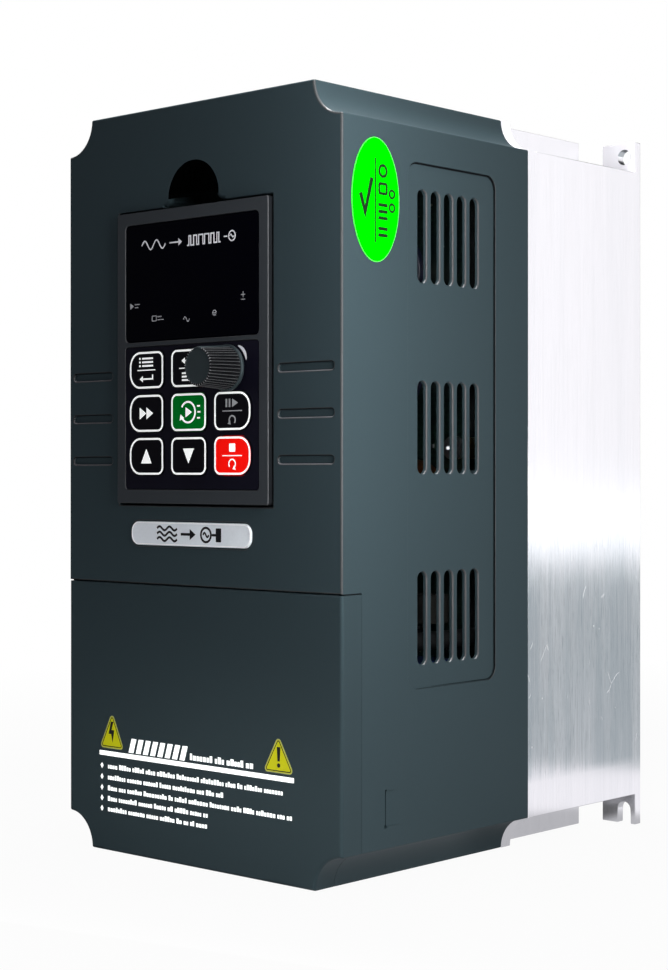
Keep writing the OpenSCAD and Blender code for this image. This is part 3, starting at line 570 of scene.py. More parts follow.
def rounded_rect(width, height, corner, x=0.0, y=0.0, steps=6):
    """Anticlockwise rounded rectangle; corner may be one radius or (left, right)."""
    left, right = corner if hasattr(corner, "__len__") else (corner, corner)
    x0, x1 = x - width / 2 + left, x + width / 2 - right
    return tidy(arc(x1, y - height / 2 + right, right, -90, 0, steps)
                + arc(x1, y + height / 2 - right, right, 0, 90, steps)
                + arc(x0, y + height / 2 - left, left, 90, 180, steps)
                + arc(x0, y - height / 2 + left, left, 180, 270, steps))


def stroke(points, width):
    """A closed anticlockwise outline round an open polyline, mitred at its corners."""
    points = [Vector(p) for p in points]
    left, right = [], []
    for i, point in enumerate(points):
        before = (point - points[i - 1]).normalized() if i else None
        after = (points[i + 1] - point).normalized() if i < len(points) - 1 else None
        before, after = before or after, after or before
        mitre = left_of(before) + left_of(after)
        mitre.normalize()
        reach = width / 2 / max(0.4, mitre.dot(left_of(before)))
        left.append(point + mitre * reach)
        right.append(point - mitre * reach)
    return tidy(right + left[::-1])


def ribbon(points, widths):
    """A closed outline round an open polyline whose width changes along it."""
    left, right = [], []
    for i, point in enumerate(points):
        across = left_of((points[min(i + 1, len(points) - 1)] - points[max(i - 1, 0)]).normalized())
        left.append(point + across * widths[i] / 2)
        right.append(point - across * widths[i] / 2)
    return tidy(right + left[::-1])


def band(loop, width):
    """Outer and inner loop of a band inside a closed anticlockwise loop."""
    return [loop, inset(loop, width)[::-1]]


def signed_area(loop):
    return sum(loop[i - 1].x * loop[i].y - loop[i].x * loop[i - 1].y
               for i in range(len(loop))) / 2


def slab(shape, loops, place, low, high, soft=0.0):
    """Closed prism between two heights (mm) over 2D loops (outer first, then holes).

    Its upper edge is rounded by soft."""
    fixed = []
    for i, loop in enumerate(loops):
        loop = tidy([Vector(p) for p in loop])
        fixed.append(loop if (signed_area(loop) > 0) == (i == 0) else loop[::-1])
    levels = [(low, 0.0), (high - soft, 0.0)]
    for angle in (RAD(45), RAD(90)) if soft else ():
        levels.append((high - soft + soft * math.sin(angle), soft * (1 - math.cos(angle))))
    sections = [[inset(loop, d) if d else loop for loop in fixed] for _, d in levels]
    rings = [[[shape.verts.new(place(p.x, p.y, height)) for p in loop] for loop in section]
             for section, (height, _) in zip(sections, levels)]
    for below, above in zip(rings, rings[1:]):
        for foot, head in zip(below, above):
            for i in range(len(foot)):
                j = (i + 1) % len(foot)
                shape.faces.new((foot[i], foot[j], head[j], head[i]))
    for section, ring in ((sections[0], rings[0]), (sections[-1], rings[-1])):
        if len(fixed) == 1:
            shape.faces.new(ring[0])
            continue
        verts = [v for loop in ring for v in loop]
        coords = [[Vector((p.x, p.y, 0)) for p in loop] for loop in section]
        for triangle in tessellate_polygon(coords):
            if len({verts[i] for i in triangle}) == 3:
                # guards against a triangle that is already there as a face
                try:
                    shape.faces.new([verts[i] for i in triangle])
                except ValueError:
                    pass


def on_front(y, mid_x=0.0, mid_z=0.0):
    """Places (across, up, out) on a face that looks along -Y at depth y (mm)."""
    return lambda across, up, out: Vector(((mid_x + across) * MM, (y - out) * MM,
                                           (mid_z + up) * MM))


def on_right(x, mid_y, mid_z):
    """Places (across, up, out) on a face that looks along +X."""
    return lambda across, up, out: Vector(((x + out) * MM, (mid_y + across) * MM,
                                           (mid_z + up) * MM))


def printed(name, shapes, place, mat, body, height=0.05):
    """Printed marks: each shape is a list of loops, laid as a thin film of ink."""
    shape = bmesh.new()
    for loops in shapes:
        slab(shape, loops, place, -0.02, height)
    new_piece(name, shape, MATS[mat], body, smooth=40, weld=False)


# ------------------------------------------------------------------ edge rules
def ends(edge):
    start, end = (v.co / MM for v in edge.verts)
    return start, end, (start + end) / 2


def near(target, *values, tol=0.06):
    return all(abs(value - target) < tol for value in values)


def cove_corner(mid):
    """On one of the depthwise edges where a corner cove meets a wall."""
    x, z = abs(mid.x), abs(mid.z)
    return (near(HALF_WIDTH, x) and near(TOP_Z - COVE, z, tol=0.2)) or (
        near(TOP_Z, z) and near(HALF_WIDTH - COVE, x, tol=0.2))


def runs_deep(start, end):
    """A long edge that runs front to back."""
    span = end - start
    return abs(span.y) > 0.9 * span.length and span.length > 3


def front_rule(y, radius):
    """Rounds only the edges that lie in the front face at depth y."""
    def rule(edge):
        start, end, _ = ends(edge)
        return radius if near(y, start.y, end.y, tol=0.03) else 0
    return rule


# ------------------------------------------------------------------ housing
POCKET_X, POCKET_Z = 35.4, 48.3   # half sizes of the keypad pocket


def housing_front_radius(mid):
    x, z = abs(mid.x), mid.z
    if x > HALF_WIDTH - 0.05 or z > TOP_Z - 0.05 or (
            x > HALF_WIDTH - COVE - 0.1 and z > TOP_Z - COVE - 0.1):
        return 0.7
    if z < PART_Z + 1.2:
        return 0.4
    from_x, from_z = abs(mid.x - KEYPAD_X), abs(z - KEYPAD_Z)
    if near(POCKET_X, from_x, tol=0.1) and from_z < POCKET_Z + 0.1:
        return 0.4
    if near(POCKET_Z, from_z, tol=0.1) and from_x < POCKET_X + 0.1:
        return 0.4
    if z > KEYPAD_HI.z:
        return 1.5
    return 0.5 if x > 36 and 0 < z < 42 else 0.25


def housing_rule(edge):
    start, end, mid = ends(edge)
    if near(FRONT_Y, start.y, end.y):
        return housing_front_radius(mid)
    if runs_deep(start, end):
        return 0.5 if cove_corner(mid) else 0
    depth, sides = mid.y - FRONT_Y, (abs(start.x), abs(end.x))
    if near(FIELD_X, *sides, tol=0.04) and 35.2 < depth < 68 and -60 < mid.z < 97:
        return 0.45
    if near(HALF_WIDTH, *sides, tol=0.02) and 29 < depth < 76:
        return 0.16
    return 0.4 if mid.z > TOP_Z - 0.05 and abs(mid.x) < 40 and depth > 5 else 0


def recess_wall(mid, normal, bevelled):
    """The short wall round the sunk vent field, painted near-black as shade."""
    return (not bevelled and abs(normal.x) < 0.3 and 29 < mid.y - FRONT_Y < 76
            and FIELD_X - 0.06 < abs(mid.x) < HALF_WIDTH + 0.02)


def on_vent(mid, bevelled):
    return bevelled and abs(mid.x) < FIELD_X + 0.05 and 34 < mid.y - FRONT_Y < 70


def vent_edge(mid, normal, bevelled):
    """The rounded mouths of the vent slots, which get a painted highlight, bar their lower ends,
    which get the brighter painted glint.
    """
    return on_vent(mid, bevelled) and normal.z < 0.35


def vent_glint(mid, normal, bevelled):
    """The lower ends of the vent slots, where they face up and forwards."""
    return on_vent(mid, bevelled) and normal.z > 0.42 and normal.y < -0.2


def groove_lip(facing):
    """Long lips of the grooves beside the keypad: facing 1 for those turned up, -1 down."""
    return lambda mid, normal, bevelled: (
        bevelled and abs(mid.x) > 36 and 0 < mid.z < 42 and mid.y < FRONT_Y + 2
        and abs(normal.x) < 0.5 and normal.z * facing > 0.25)


rounded("housing_shell", "main_housing", housing_rule, MATS["housing"], "chassis",
        seg=4, edge=MATS["edge"],
        zones=((MATS["recess_wall"], recess_wall), (MATS["vent_edge"], vent_edge),
               (MATS["vent_glint"], vent_glint), (MATS["groove_light"], groove_lip(1)),
               (MATS["groove_shade"], groove_lip(-1))))


def shadow_line_track():
    """(y, z) path just inside the vent field's wall: bottom, rear, top, front upper corner."""
    y0, y1 = FIELD_Y
    z0, z1 = FIELD_MID_Z - FIELD_HALF_Z, FIELD_MID_Z + FIELD_HALF_Z
    corner, gap = FIELD_CORNER, 0.30
    radius, depth = corner - gap, y1 - y0
    path = [Vector((y0 + 12 + i * (depth - 12 - corner) / 8, z0 + gap)) for i in range(8)]
    path += arc(y1 - corner, z0 + corner, radius, -90, 0, 8)
    path += [Vector((y1 - gap, z0 + corner + (z1 - z0 - 2 * corner) * i / 12))
             for i in range(1, 12)]
    path += arc(y1 - corner, z1 - corner, radius, 0, 90, 8)
    path += [Vector((y1 - corner - (depth - 2 * corner) * i / 8, z1 - gap)) for i in range(1, 8)]
    path += arc(y0 + corner, z1 - corner, radius, 90, 165, 6)
    return tidy(path, 1e-3)


def shadow_line_width(y, z):
    """Fine at the lower front, fuller along the top and rear."""
    y0, y1 = FIELD_Y
    if z < FIELD_MID_Z - FIELD_HALF_Z + 2.5:
        return 0.06 + 0.22 * max(0.0, min(1.0, (y - y0 - 12) / (y1 - y0 - 14)))
    if y > y1 - 1.5 and z < FIELD_MID_Z + FIELD_HALF_Z - 4:
        return 0.34
    return 0.50 if y > y0 + 4 else max(0.08, 0.50 - 0.11 * (y0 + 4 - y))


# painted shadow line: a thin near-black film at the foot of the recess wall, on both sides
track = shadow_line_track()
groove = ribbon(track, [shadow_line_width(p.x, p.y) for p in track])
for sign, side_name in ((-1, "left"), (1, "right")):
    shape = bmesh.new()
    slab(shape, [groove], lambda across, up, out: Vector(
        ((FIELD_X + out) * sign * MM, across * MM, up * MM)), -0.02, 0.03)
    new_piece("recess_painted_shadow_" + side_name, shape, MATS["recess_wall"], "chassis",
              smooth=40, weld=False)

# the housing's inner lip that closes the joint at both side walls, coloured near-black as painted
# shade
shape = bmesh.new()
for sign in (-1, 1):
    slab(shape, [rounded_rect(2.3, 0.5, 0.12, sign * 60.95, PART_Z + 0.27, 2)],
         on_front(-151.6), 0, 7.0, 0.08)
new_piece("housing_joint_lip", shape, MATS["recess_wall"], "chassis", weld=False)


# ------------------------------------------------------------------ terminal cover
def cover_rule(edge):
    start, end, mid = ends(edge)
    if near(FRONT_Y, start.y, end.y):
        return 0.4 if mid.z > PART_Z - 0.05 else 1.1
    if runs_deep(start, end):
        if cove_corner(mid):
            return 0.5
        if near(HALF_WIDTH, abs(mid.x)) and near(PART_Z, mid.z, tol=0.05):
            return 0.4
    return 0


rounded("terminal_cover_shell", "terminal_cover", cover_rule, MATS["cover"], "cover",
        seg=4)


# ------------------------------------------------------------------ keypad
def bezel_rule(edge):
    start, end, mid = ends(edge)
    if not near(KEYPAD_LO.y, start.y, end.y):
        return 0
    outer = (abs(mid.x - KEYPAD_X) > (KEYPAD_HI.x - KEYPAD_LO.x) / 2 - 1
             or abs(mid.z - KEYPAD_Z) > (KEYPAD_HI.z - KEYPAD_LO.z) / 2 - 1)
    return 0.32 if outer else 0.25


WINDOW_Y = box_mm("display_window")[0].y
OVERLAY_Y = box_mm("keypad_overlay")[0].y
# the bezel's sides and most of its rounded edges get a painted shade; its front-facing and
# right-hand rounded edges a painted highlight
rounded("keypad_bezel", "keypad_frame", bezel_rule, MATS["frame"], "keypad",
        seg=3, edge=MATS["bezel_edge"], side=MATS["frame_side_shade"])
rounded("display_lens", "display_window", front_rule(WINDOW_Y, 0.25), MATS["window"],
        "keypad")
rounded("key_overlay", "keypad_overlay", front_rule(OVERLAY_Y, 0.12), MATS["overlay"],
        "keypad")


# ------------------------------------------------------------------ printed symbols
def arrow_head(x, y, angle, size):
    """Arrow head with its tip at (x, y), pointing along angle."""
    ahead = Vector((math.cos(RAD(angle)), math.sin(RAD(angle))))
    side = Vector((-math.sin(RAD(angle)), math.cos(RAD(angle)))) * size
    tip = Vector((x, y))
    return [tip, tip - ahead * size * 1.5 + side, tip - ahead * size * 1.5 - side]


def bar(x0, x1, y, width=0.36):
    low, high = y - width / 2, y + width / 2
    return [(x0, low), (x1, low), (x1, high), (x0, high)]


def turn(x, y, radius, start, end, width, size):
    """Circular arrow from one angle to another."""
    way = 1 if end > start else -1
    ahead = end + 90 * way
    tip_x = x + radius * math.cos(RAD(end)) + math.cos(RAD(ahead)) * size
    tip_y = y + radius * math.sin(RAD(end)) + math.sin(RAD(ahead)) * size
    return [[stroke(arc(x, y, radius, start, end, 26), width)],
            [arrow_head(tip_x, tip_y, ahead + 9 * way, size)]]


def sine(x0, x1, y, height, periods, width, steps=20):
    """Sine wave, with a number of steps to each period."""
    count = steps * periods
    return stroke([(x0 + (x1 - x0) * i / count,
                    y + height * math.sin(2 * math.pi * periods * i / count))
                   for i in range(count + 1)], width)


# ------------------------------------------------------------------ keys
# key: column, material
KEYS = {
    "menu": (0, "key"), "enter": (1, "key"), "shift": (0, "key"), "run": (1, "key_green"),
    "jog": (2, "key"), "up": (0, "key"), "down": (1, "key"), "stop": (2, "key_red"),
}
KEY_WIDTH, KEY_HEIGHT = 16.2, 12.2
OUTER_CORNER, INNER_CORNER = 5.0, 2.6
DIVIDER = [[bar(-4.3, 4.3, 0, 0.32)]]
# each symbol is a list of shapes about the key's middle
SYMBOLS = {
    "menu": DIVIDER + [[bar(-2.0, 3.2, y, 0.55)] for y in (3.8, 2.6, 1.4)]
            + [[circle(-3.1, y, 0.36, 12)] for y in (3.8, 2.6, 1.4)]
            + [[stroke([(3.0, -1.5), (3.0, -2.9), (-1.6, -2.9)], 0.5)],
               [arrow_head(-3.2, -2.9, 180, 1.0)]],
    "enter": DIVIDER + [[stroke([(3.0, 4.0), (3.0, 2.4), (-1.6, 2.4)], 0.5)],
                        [arrow_head(-3.2, 2.4, 180, 1.0)]]
             + [[bar(-3.0, 3.0, y, 0.55)] for y in (-1.6, -2.7, -3.8)],
    "shift": [[[(-3.2, -1.9), (-0.1, 0), (-3.2, 1.9)]], [[(0.1, -1.9), (3.2, 0), (0.1, 1.9)]]],
    "run": turn(-0.2, 0, 3.3, 150, -150, 0.6, 1.1)
           + [[[(-1.3, -1.6), (1.6, 0), (-1.3, 1.6)]], [bar(4.0, 5.3, 1.9, 0.5)],
              [bar(4.0, 5.3, -1.9, 0.5)], [bar(4.2, 5.5, 0, 0.5)]],
    "jog": DIVIDER + [[bar(-2.9, -2.2, 2.5, 2.6)], [bar(-1.5, -0.8, 2.5, 2.6)],
                      [[(0.0, 1.2), (2.6, 2.5), (0.0, 3.8)]]]
           + turn(0, -2.9, 1.35, -40, 215, 0.42, 0.75),
    "up": [[[(-2.5, -2.3), (2.5, -2.3), (0, 2.4)]]],
    "down": [[[(-2.5, 2.4), (0, -2.3), (2.5, 2.4)]]],
    "stop": DIVIDER + [[rounded_rect(2.6, 2.6, 0.25, 0, 2.5, 2)]]
            + turn(0, -2.6, 1.45, 215, -55, 0.42, 0.75),
}
for key, (column, mat) in KEYS.items():
    node, body = "button_" + key, "key_" + key
    key_box = box_mm(node)
    key_x, _, key_z = middle(*key_box)
    key_y = key_box[0].y
    face = on_front(key_y, key_x, key_z)
    rounded("key_cap_" + key, node, front_rule(key_y, 0.14), MATS[mat], body,
            side=MATS["key"])
    corners = (OUTER_CORNER if column == 0 else INNER_CORNER,
               OUTER_CORNER if column == 2 else INNER_CORNER)
    outline = rounded_rect(KEY_WIDTH, KEY_HEIGHT, corners, steps=10)
    printed("key_outline_" + key, [band(inset(outline, 0.13), 0.62)], face, "white", body)
    printed("key_symbol_" + key, SYMBOLS[key], face, "dim_white" if key == "jog" else "white",
            body, 0.06)

# ------------------------------------------------------------------ keypad print
KNOB_LO, KNOB_HI = box_mm("speed_knob")
KNOB_X, _, KNOB_Z = middle(KNOB_LO, KNOB_HI)
SCALE_RADIUS = 7.75

# wedge-shaped speed scale printed round the knob, from 60 down to 17 degrees
outer, inner = [], []
for i in range(25):
    step = i / 24
    angle = RAD(60 - 43 * step)
    width = 0.10 + 0.95 * math.sin(math.pi * min(1, 0.06 + 0.94 * step)) ** 0.8
    ray = (math.cos(angle), math.sin(angle))
    outer.append([(SCALE_RADIUS + width) * r for r in ray])
    inner.append([SCALE_RADIUS * r for r in ray])
printed("speed_scale", [[outer + inner[::-1]]], on_front(OVERLAY_Y, KNOB_X, KNOB_Z),
        "soft_white", "keypad")

# display lens legend: supply wave, arrow, output pulses, ringed wave
PULSE_HALF = 1.5
# pulse width, gap shared out on both sides of it
PULSES = [(0.9, 1.7), (1.5, 1.1), (2.1, 0.8), (2.1, 0.8), (1.5, 1.1), (0.9, 1.7)]
x = -1.6
pulse_path = [(x, -PULSE_HALF)]
for pulse, gap in PULSES:
    rise = x + gap / 2
    pulse_path += [(rise, -PULSE_HALF), (rise, PULSE_HALF),
                   (rise + pulse, PULSE_HALF), (rise + pulse, -PULSE_HALF)]
    x += pulse + gap
    pulse_path.append((x, -PULSE_HALF))
legend = [
    [sine(-24.5, -12.5, 0, 1.45, 2, 0.45)],
    [stroke([(-10.4, 0), (-5.8, 0)], 0.45)], [arrow_head(-4.2, 0, 0, 1.15)],
    [stroke(pulse_path, 0.45)],
    [stroke([(x + 1.6, 0), (x + 3.2, 0)], 0.4)],
    band(circle(x + 5.4, 0, 1.75), 0.42),
    [sine(x + 4.4, x + 6.4, 0, 0.5, 1, 0.32, 16)],
]
at_legend = on_front(WINDOW_Y, KEYPAD_X + 0.15, 77.9)
printed("window_legend", legend, lambda across, up, out: at_legend(across * 0.94, up, out),
        "soft_white", "keypad", 0.04)

# small marks on the lens, left to right
STATUS_MARKS = [
    [[(-30.0, 57.4), (-28.3, 58.4), (-30.0, 59.4)]],
    [bar(-27.8, -25.4, 58.9, 0.3)], [bar(-27.8, -26.2, 57.9, 0.3)],
    band(rounded_rect(2.2, 1.9, 0.3, -18.4, 53.9), 0.26),
    [bar(-16.9, -14.9, 54.4, 0.28)], [bar(-16.9, -13.9, 53.4, 0.28)],
    [sine(-4.6, -1.8, 52.9, 0.75, 1, 0.30, 18)],
    band(circle(9.6, 54.2, 0.95, 20), 0.26), [bar(8.9, 10.3, 54.2, 0.24)],
    [bar(21.5, 23.3, 59.2, 0.26)], [stroke([(22.4, 58.3), (22.4, 60.1)], 0.26)],
    [bar(21.5, 23.3, 57.7, 0.26)],
]
printed("window_status_marks", STATUS_MARKS, on_front(WINDOW_Y), "dim_white", "keypad", 0.04)

# ------------------------------------------------------------------ speed knob
FLUTES, STEPS_PER_FLUTE = 38, 10
KNOB_STEPS = FLUTES * STEPS_PER_FLUTE
FLUTE_DEPTH = 0.62
PLAIN_HALF = 18.8     # degrees each side of the top left without flutes
POINTER_HALF = 3.0    # degrees each side of the top raised as a pointer


def from_top(step):
    """Angle of a step from the knob's top, -180 to 180 degrees."""
    return (360 * step / KNOB_STEPS + 180) % 360 - 180


def knob_profile():
    """(y, radius, flute depth factor) from the keypad forwards."""
    radius, back, front = (KNOB_HI.x - KNOB_LO.x) / 2, KNOB_HI.y, KNOB_LO.y
    # skirt: distance in front of the keypad, cut from the radius, flute factor
    skirt = [(0, 0.25, 0), (0.2, 0.04, 0), (0.45, 0, 0), (0.9, 0, 0), (1.15, 0.08, 0),
             (1.28, 0.3, 0), (1.32, 0.55, 0), (1.5, 0.62, 0.6), (1.8, 0.55, 1.0)]
    profile = [(back - dist, radius - cut, flute) for dist, cut, flute in skirt]
    y0, r0, y1, r1 = back - 1.8, radius - 0.55, front + 0.35, radius - 1.30
    profile += [(y0 + (y1 - y0) * i / 6, r0 + (r1 - r0) * i / 6, 1.0) for i in range(1, 7)]
    # rolled front edge and dished face: distance behind the front, cut from r1, factor
    rim = [(0.14, 0.06, 1.0), (0.03, 0.2, 0.8), (0, 0.45, 0.35), (0.02, 0.68, 0),
           (0.14, 0.80, 0), (0.16, 1.1, 0)]
    profile += [(front + dist, r1 - cut, flute) for dist, cut, flute in rim]
    return profile + [(front + 0.12, 1.5, 0)]


def build_knob():
    """Turned and fluted knob: skirt ring, tapered body, rolled front edge, dished face."""
    shape = bmesh.new()
    profile = knob_profile()
    rings = []
    for y, radius, flute in profile:
        ring = []
        for i in range(KNOB_STEPS):
            angle = 2 * math.pi * i / KNOB_STEPS
            reach = radius
            if abs(from_top(i)) >= PLAIN_HALF:
                wave = 0.5 - 0.5 * math.cos(2 * math.pi * i / STEPS_PER_FLUTE)
                reach -= FLUTE_DEPTH * flute * wave ** 0.8
            elif flute > 0.5 and abs(from_top(i)) < POINTER_HALF:
                reach += 0.16 * flute
            ring.append(shape.verts.new(((KNOB_X + reach * math.sin(angle)) * MM, y * MM,
                                         (KNOB_Z + reach * math.cos(angle)) * MM)))
        rings.append(ring)
    for k in range(len(rings) - 1):
        near_ring, far_ring = rings[k], rings[k + 1]
        flute0, (y, _, flute1) = profile[k][2], profile[k + 1]
        ridge = 3 if flute1 < 0.9 and y < KNOB_LO.y + 0.5 else 2
        for i in range(KNOB_STEPS):
            j = (i + 1) % KNOB_STEPS
            face = shape.faces.new((near_ring[i], near_ring[j], far_ring[j], far_ring[i]))
            # flute troughs get the painted shade; ridges a painted highlight, brighter on the
            # rolled front rim
            if max(flute0, flute1) > 0.3 and abs(from_top(i + 0.5)) >= PLAIN_HALF:
                phase = (i + 0.5) / STEPS_PER_FLUTE % 1
                face.material_index = ridge if min(phase, 1 - phase) < 0.14 else 1
    shape.faces.new(rings[0])
    shape.faces.new(rings[-1])
    mats = [MATS[key] for key in ("knob", "knob_groove", "knob_ridge", "knob_tip")]
    new_piece("speed_knob_fluted", shape, mats, "knob", ("speed_knob",),
              smooth=60)


build_knob()

# ------------------------------------------------------------------ rating plate
PLATE_LO, PLATE_HI = box_mm("rating_plate")
PLATE_X, _, PLATE_Z = middle(PLATE_LO, PLATE_HI)
PLATE_Y = PLATE_LO.y
rounded("rating_plate_badge", "rating_plate", front_rule(PLATE_Y, 0.28), MATS["plate"],
        "chassis", seg=3)
rim = rounded_rect(PLATE_HI.x - PLATE_LO.x - 0.45, PLATE_HI.z - PLATE_LO.z - 0.45, 2.98,
                   steps=14)
# painted highlight: a bright band round the plate's edge
printed("rating_plate_rim", [band(rim, 0.34)], on_front(PLATE_Y, PLATE_X, PLATE_Z),
        "plate_rim", "chassis", 0.10)
# three waves, arrow, ringed wave, line and block
PLATE_SYMBOLS = [[sine(-14.6, -5.2, z, 0.62, 2, 0.72)] for z in (1.75, 0.0, -1.75)] + [
    [stroke([(-3.4, 0), (1.2, 0)], 0.85)], [arrow_head(3.4, 0, 0, 1.75)],
    band(circle(8.2, 0, 2.65, 40), 0.75), [sine(6.9, 9.5, 0, 0.7, 1, 0.6)],
    [stroke([(10.9, 0), (12.8, 0)], 0.8)], [rounded_rect(2.4, 4.4, 0.2, 13.9, 0, 2)],
]
printed("rating_plate_symbols", PLATE_SYMBOLS, on_front(PLATE_Y, PLATE_X - 0.6, PLATE_Z),
        "black_ink", "chassis", 0.04)


# ------------------------------------------------------------------ cover print
def rounded_triangle(tip_x, tip_z, left, right, base, radius=1.15, steps=5):
    """Anticlockwise triangle on a level base, with rounded corners."""
    corners = [Vector((left, base)), Vector((right, base)), Vector((tip_x, tip_z))]
    out = []
    for i in range(3):
        corner = corners[i]
        back = (corners[i - 1] - corner).normalized()
        ahead = (corners[(i + 1) % 3] - corner).normalized()
        half = math.acos(max(-1, min(1, back.dot(ahead)))) / 2
        reach = radius / math.tan(half)
        centre = corner + (back + ahead).normalized() * (radius / math.sin(half))
        first, last = corner + back * reach - centre, corner + ahead * reach - centre
        start, end = math.atan2(first.y, first.x), math.atan2(last.y, last.x)
        while end < start:
            end += 2 * math.pi
        if end - start > math.pi:
            end -= 2 * math.pi
        angles = [start + (end - start) * k / steps for k in range(steps + 1)]
        out += [centre + Vector((radius * math.cos(t), radius * math.sin(t))) for t in angles]
    return tidy(out)


COVER_Y = COVER_LO.y
COVER_FACE = on_front(COVER_Y)
TRIANGLES = [rounded_triangle(-40.6, -75.8, -46.9, -34.6, -88.2),
             rounded_triangle(36.3, -76.6, 29.7, 43.1, -88.3)]
BOLT = [(-41.2, -79.2), (-39.9, -79.2), (-40.9, -82.0), (-39.5, -82.0), (-40.35, -86.2),
        (-41.05, -83.4), (-42.35, -83.4)]
EXCLAMATION = [(35.65, -80.3), (37.2, -80.3), (36.9, -84.7), (35.95, -84.7)]
printed("warning_triangles_rim", [band(t, 0.28) for t in TRIANGLES], COVER_FACE,
        "yellow_rim", "cover")
printed("warning_triangles", [[inset(t, 0.25)] for t in TRIANGLES], COVER_FACE,
        "yellow", "cover", 0.04)
printed("warning_symbols", [band(inset(t, 0.52), 0.30) for t in TRIANGLES]
        + [[BOLT], [EXCLAMATION], [circle(36.45, -85.95, 0.68, 20)]],
        on_front(COVER_Y - 0.04), "black_ink", "cover", 0.03)


def greeked(x0, x1, z, height, rnd):
    """A line of small print shown as plain blocks of uneven height, grouped like words."""
    out, x = [], x0
    size, foot = height / 1.25, z - height / 2
    while x < x1 - 1.2:
        for _ in range(rnd.randint(2, 9)):
            width = rnd.choice((0.62, 0.74, 0.86)) * size
            if x + width > x1:
                break
            top = foot + height * rnd.choice((0.76, 0.76, 0.82, 1.06))
            out.append([[(x, foot), (x + width, foot), (x + width, top), (x, top)]])
            x += width + 0.22 * size
        x += 0.55 * size
    return out


# line under the triangles, then a heading of slanted blocks
rnd = random.Random(7)
white = [[rounded_rect(89.8, 1.55, 0.1, -2.05, -89.95, 2)]]
BLOCK_WIDTH, BLOCK_LEAN, BLOCK_GAP = 2.35, 1.5, 1.15
x = -32.4
while x < -6.5:
    end = x + BLOCK_WIDTH
    white.append([[(x, -88.7), (end, -88.7), (end + BLOCK_LEAN, -84.0), (x + BLOCK_LEAN, -84.0)]])
    x += BLOCK_WIDTH + BLOCK_GAP
white += greeked(-3.0, 26.3, -87.2, 2.0, rnd)
# text lines, each with a diamond bullet: height, right end
for z, x1 in ((-94.2, 39.1), (-97.9, 13.0), (-101.5, 42.9), (-105.0, 6.2), (-108.5, 5.3)):
    white += greeked(-42.7, x1, z, 1.55, rnd)
    white.append([[(-45.7, z - 1.0), (-44.95, z), (-45.7, z + 1.0), (-46.45, z)]])
printed("warning_print", white, COVER_FACE, "cover_white", "cover", 0.04)

# ------------------------------------------------------------------ inspection sticker
STICKER_LO, STICKER_HI = box_mm("inspection_sticker")
_, STICKER_Y, STICKER_Z = middle(STICKER_LO, STICKER_HI)
STICKER_FACE = on_right(HALF_WIDTH + 0.14, STICKER_Y, STICKER_Z)


def sticker_oval(shrink, steps=72):
    half_y = (STICKER_HI.y - STICKER_LO.y) / 2 - shrink
    half_z = (STICKER_HI.z - STICKER_LO.z) / 2 - shrink
    angles = [2 * math.pi * i / steps for i in range(steps)]
    return [Vector((half_y * math.cos(t), half_z * math.sin(t))) for t in angles]


shape = bmesh.new()
slab(shape, [sticker_oval(0.02)], on_right(HALF_WIDTH, STICKER_Y, STICKER_Z), -0.02, 0.15, 0.08)
new_piece("inspection_sticker_label", shape, MATS["green_label"], "chassis",
          ("inspection_sticker",))
# painted highlight: a pale band round the label's edge
printed("inspection_sticker_rim", [band(sticker_oval(0.10), 0.16)], STICKER_FACE,
        "label_rim", "chassis", 0.03)
# tick and dividing line, then a column of rings and bars, and two rings beside it
STICKER_MARKS = [
    [stroke([(-7.0, 1.4), (-4.9, -4.2), (-1.8, 6.4)], 1.5)],
    [stroke([(-0.2, -13.0), (-0.2, 12.6)], 0.5)],
    band(circle(3.3, 9.0, 2.1, 30), 0.8), band(rounded_rect(4.2, 3.8, 0.9, 3.3, 3.6, 3), 0.8),
] + [[bar(1.2, 5.4, z, 0.95)] for z in (-1.4, -3.4, -5.4, -8.6, -10.6)] + [
    band(circle(7.5, z, 1.5, 26), 0.65) for z in (-1.9, 2.3)]
printed("inspection_sticker_marks", STICKER_MARKS, STICKER_FACE, "sticker_ink", "chassis", 0.03)


# ------------------------------------------------------------------ heatsink
# above this height the flanges are also painted light
MILLED_PAINTED_LIGHT_Z = 104   # height above which the flanges are matt


def sink_rule(edge):
    start, end, mid = ends(edge)
    span = end - start
    length, rise, depth = span.length, abs(span.z), mid.y - SINK_Y
    if length < 1.2:
        return 0
    if near(SINK_Y, mid.y, tol=0.05):
        return 0.25
    if rise > 0.95 * length and abs(mid.x) > HALF_WIDTH - 0.1:
        return 0.3
    if abs(mid.x) > 48 and depth > 6:
        return 0.25
    if depth > 44:
        return 0.2
    return 0.2 if length > 6 and abs(mid.x) < 50 and rise < 0.5 * length else 0


def milled(mid, normal, bevelled):
    """The flange curve and the front of the upper feet: left matt by the saw and the mill, and
    painted light, pale and diffuse where bare metal would show bright reflections.
    """
    if mid.z < MILLED_PAINTED_LIGHT_Z or abs(mid.x) < 45:
        return False
    return (mid.y < SINK_Y + 8 and abs(normal.y) < 0.5 and normal.z > -0.1) or (
        mid.y > -8 and normal.y < -0.7)


rounded("heatsink_extrusion", "heatsink", sink_rule, MATS["alu"], "chassis",
        zones=((MATS["milled"], milled),), split=MILLED_PAINTED_LIGHT_Z)


# ------------------------------------------------------------------ plain mouldings
def long_edges(edge):
    """A small radius on every edge over 2 mm."""
    return 0.25 if edge.calc_length() > 2.0 * MM else 0


rounded("fan_tray_moulding", "fan_tray", long_edges, MATS["housing"], "chassis")
rounded("keypad_back_moulding", "keypad_back", long_edges, MATS["black"], "keypad")

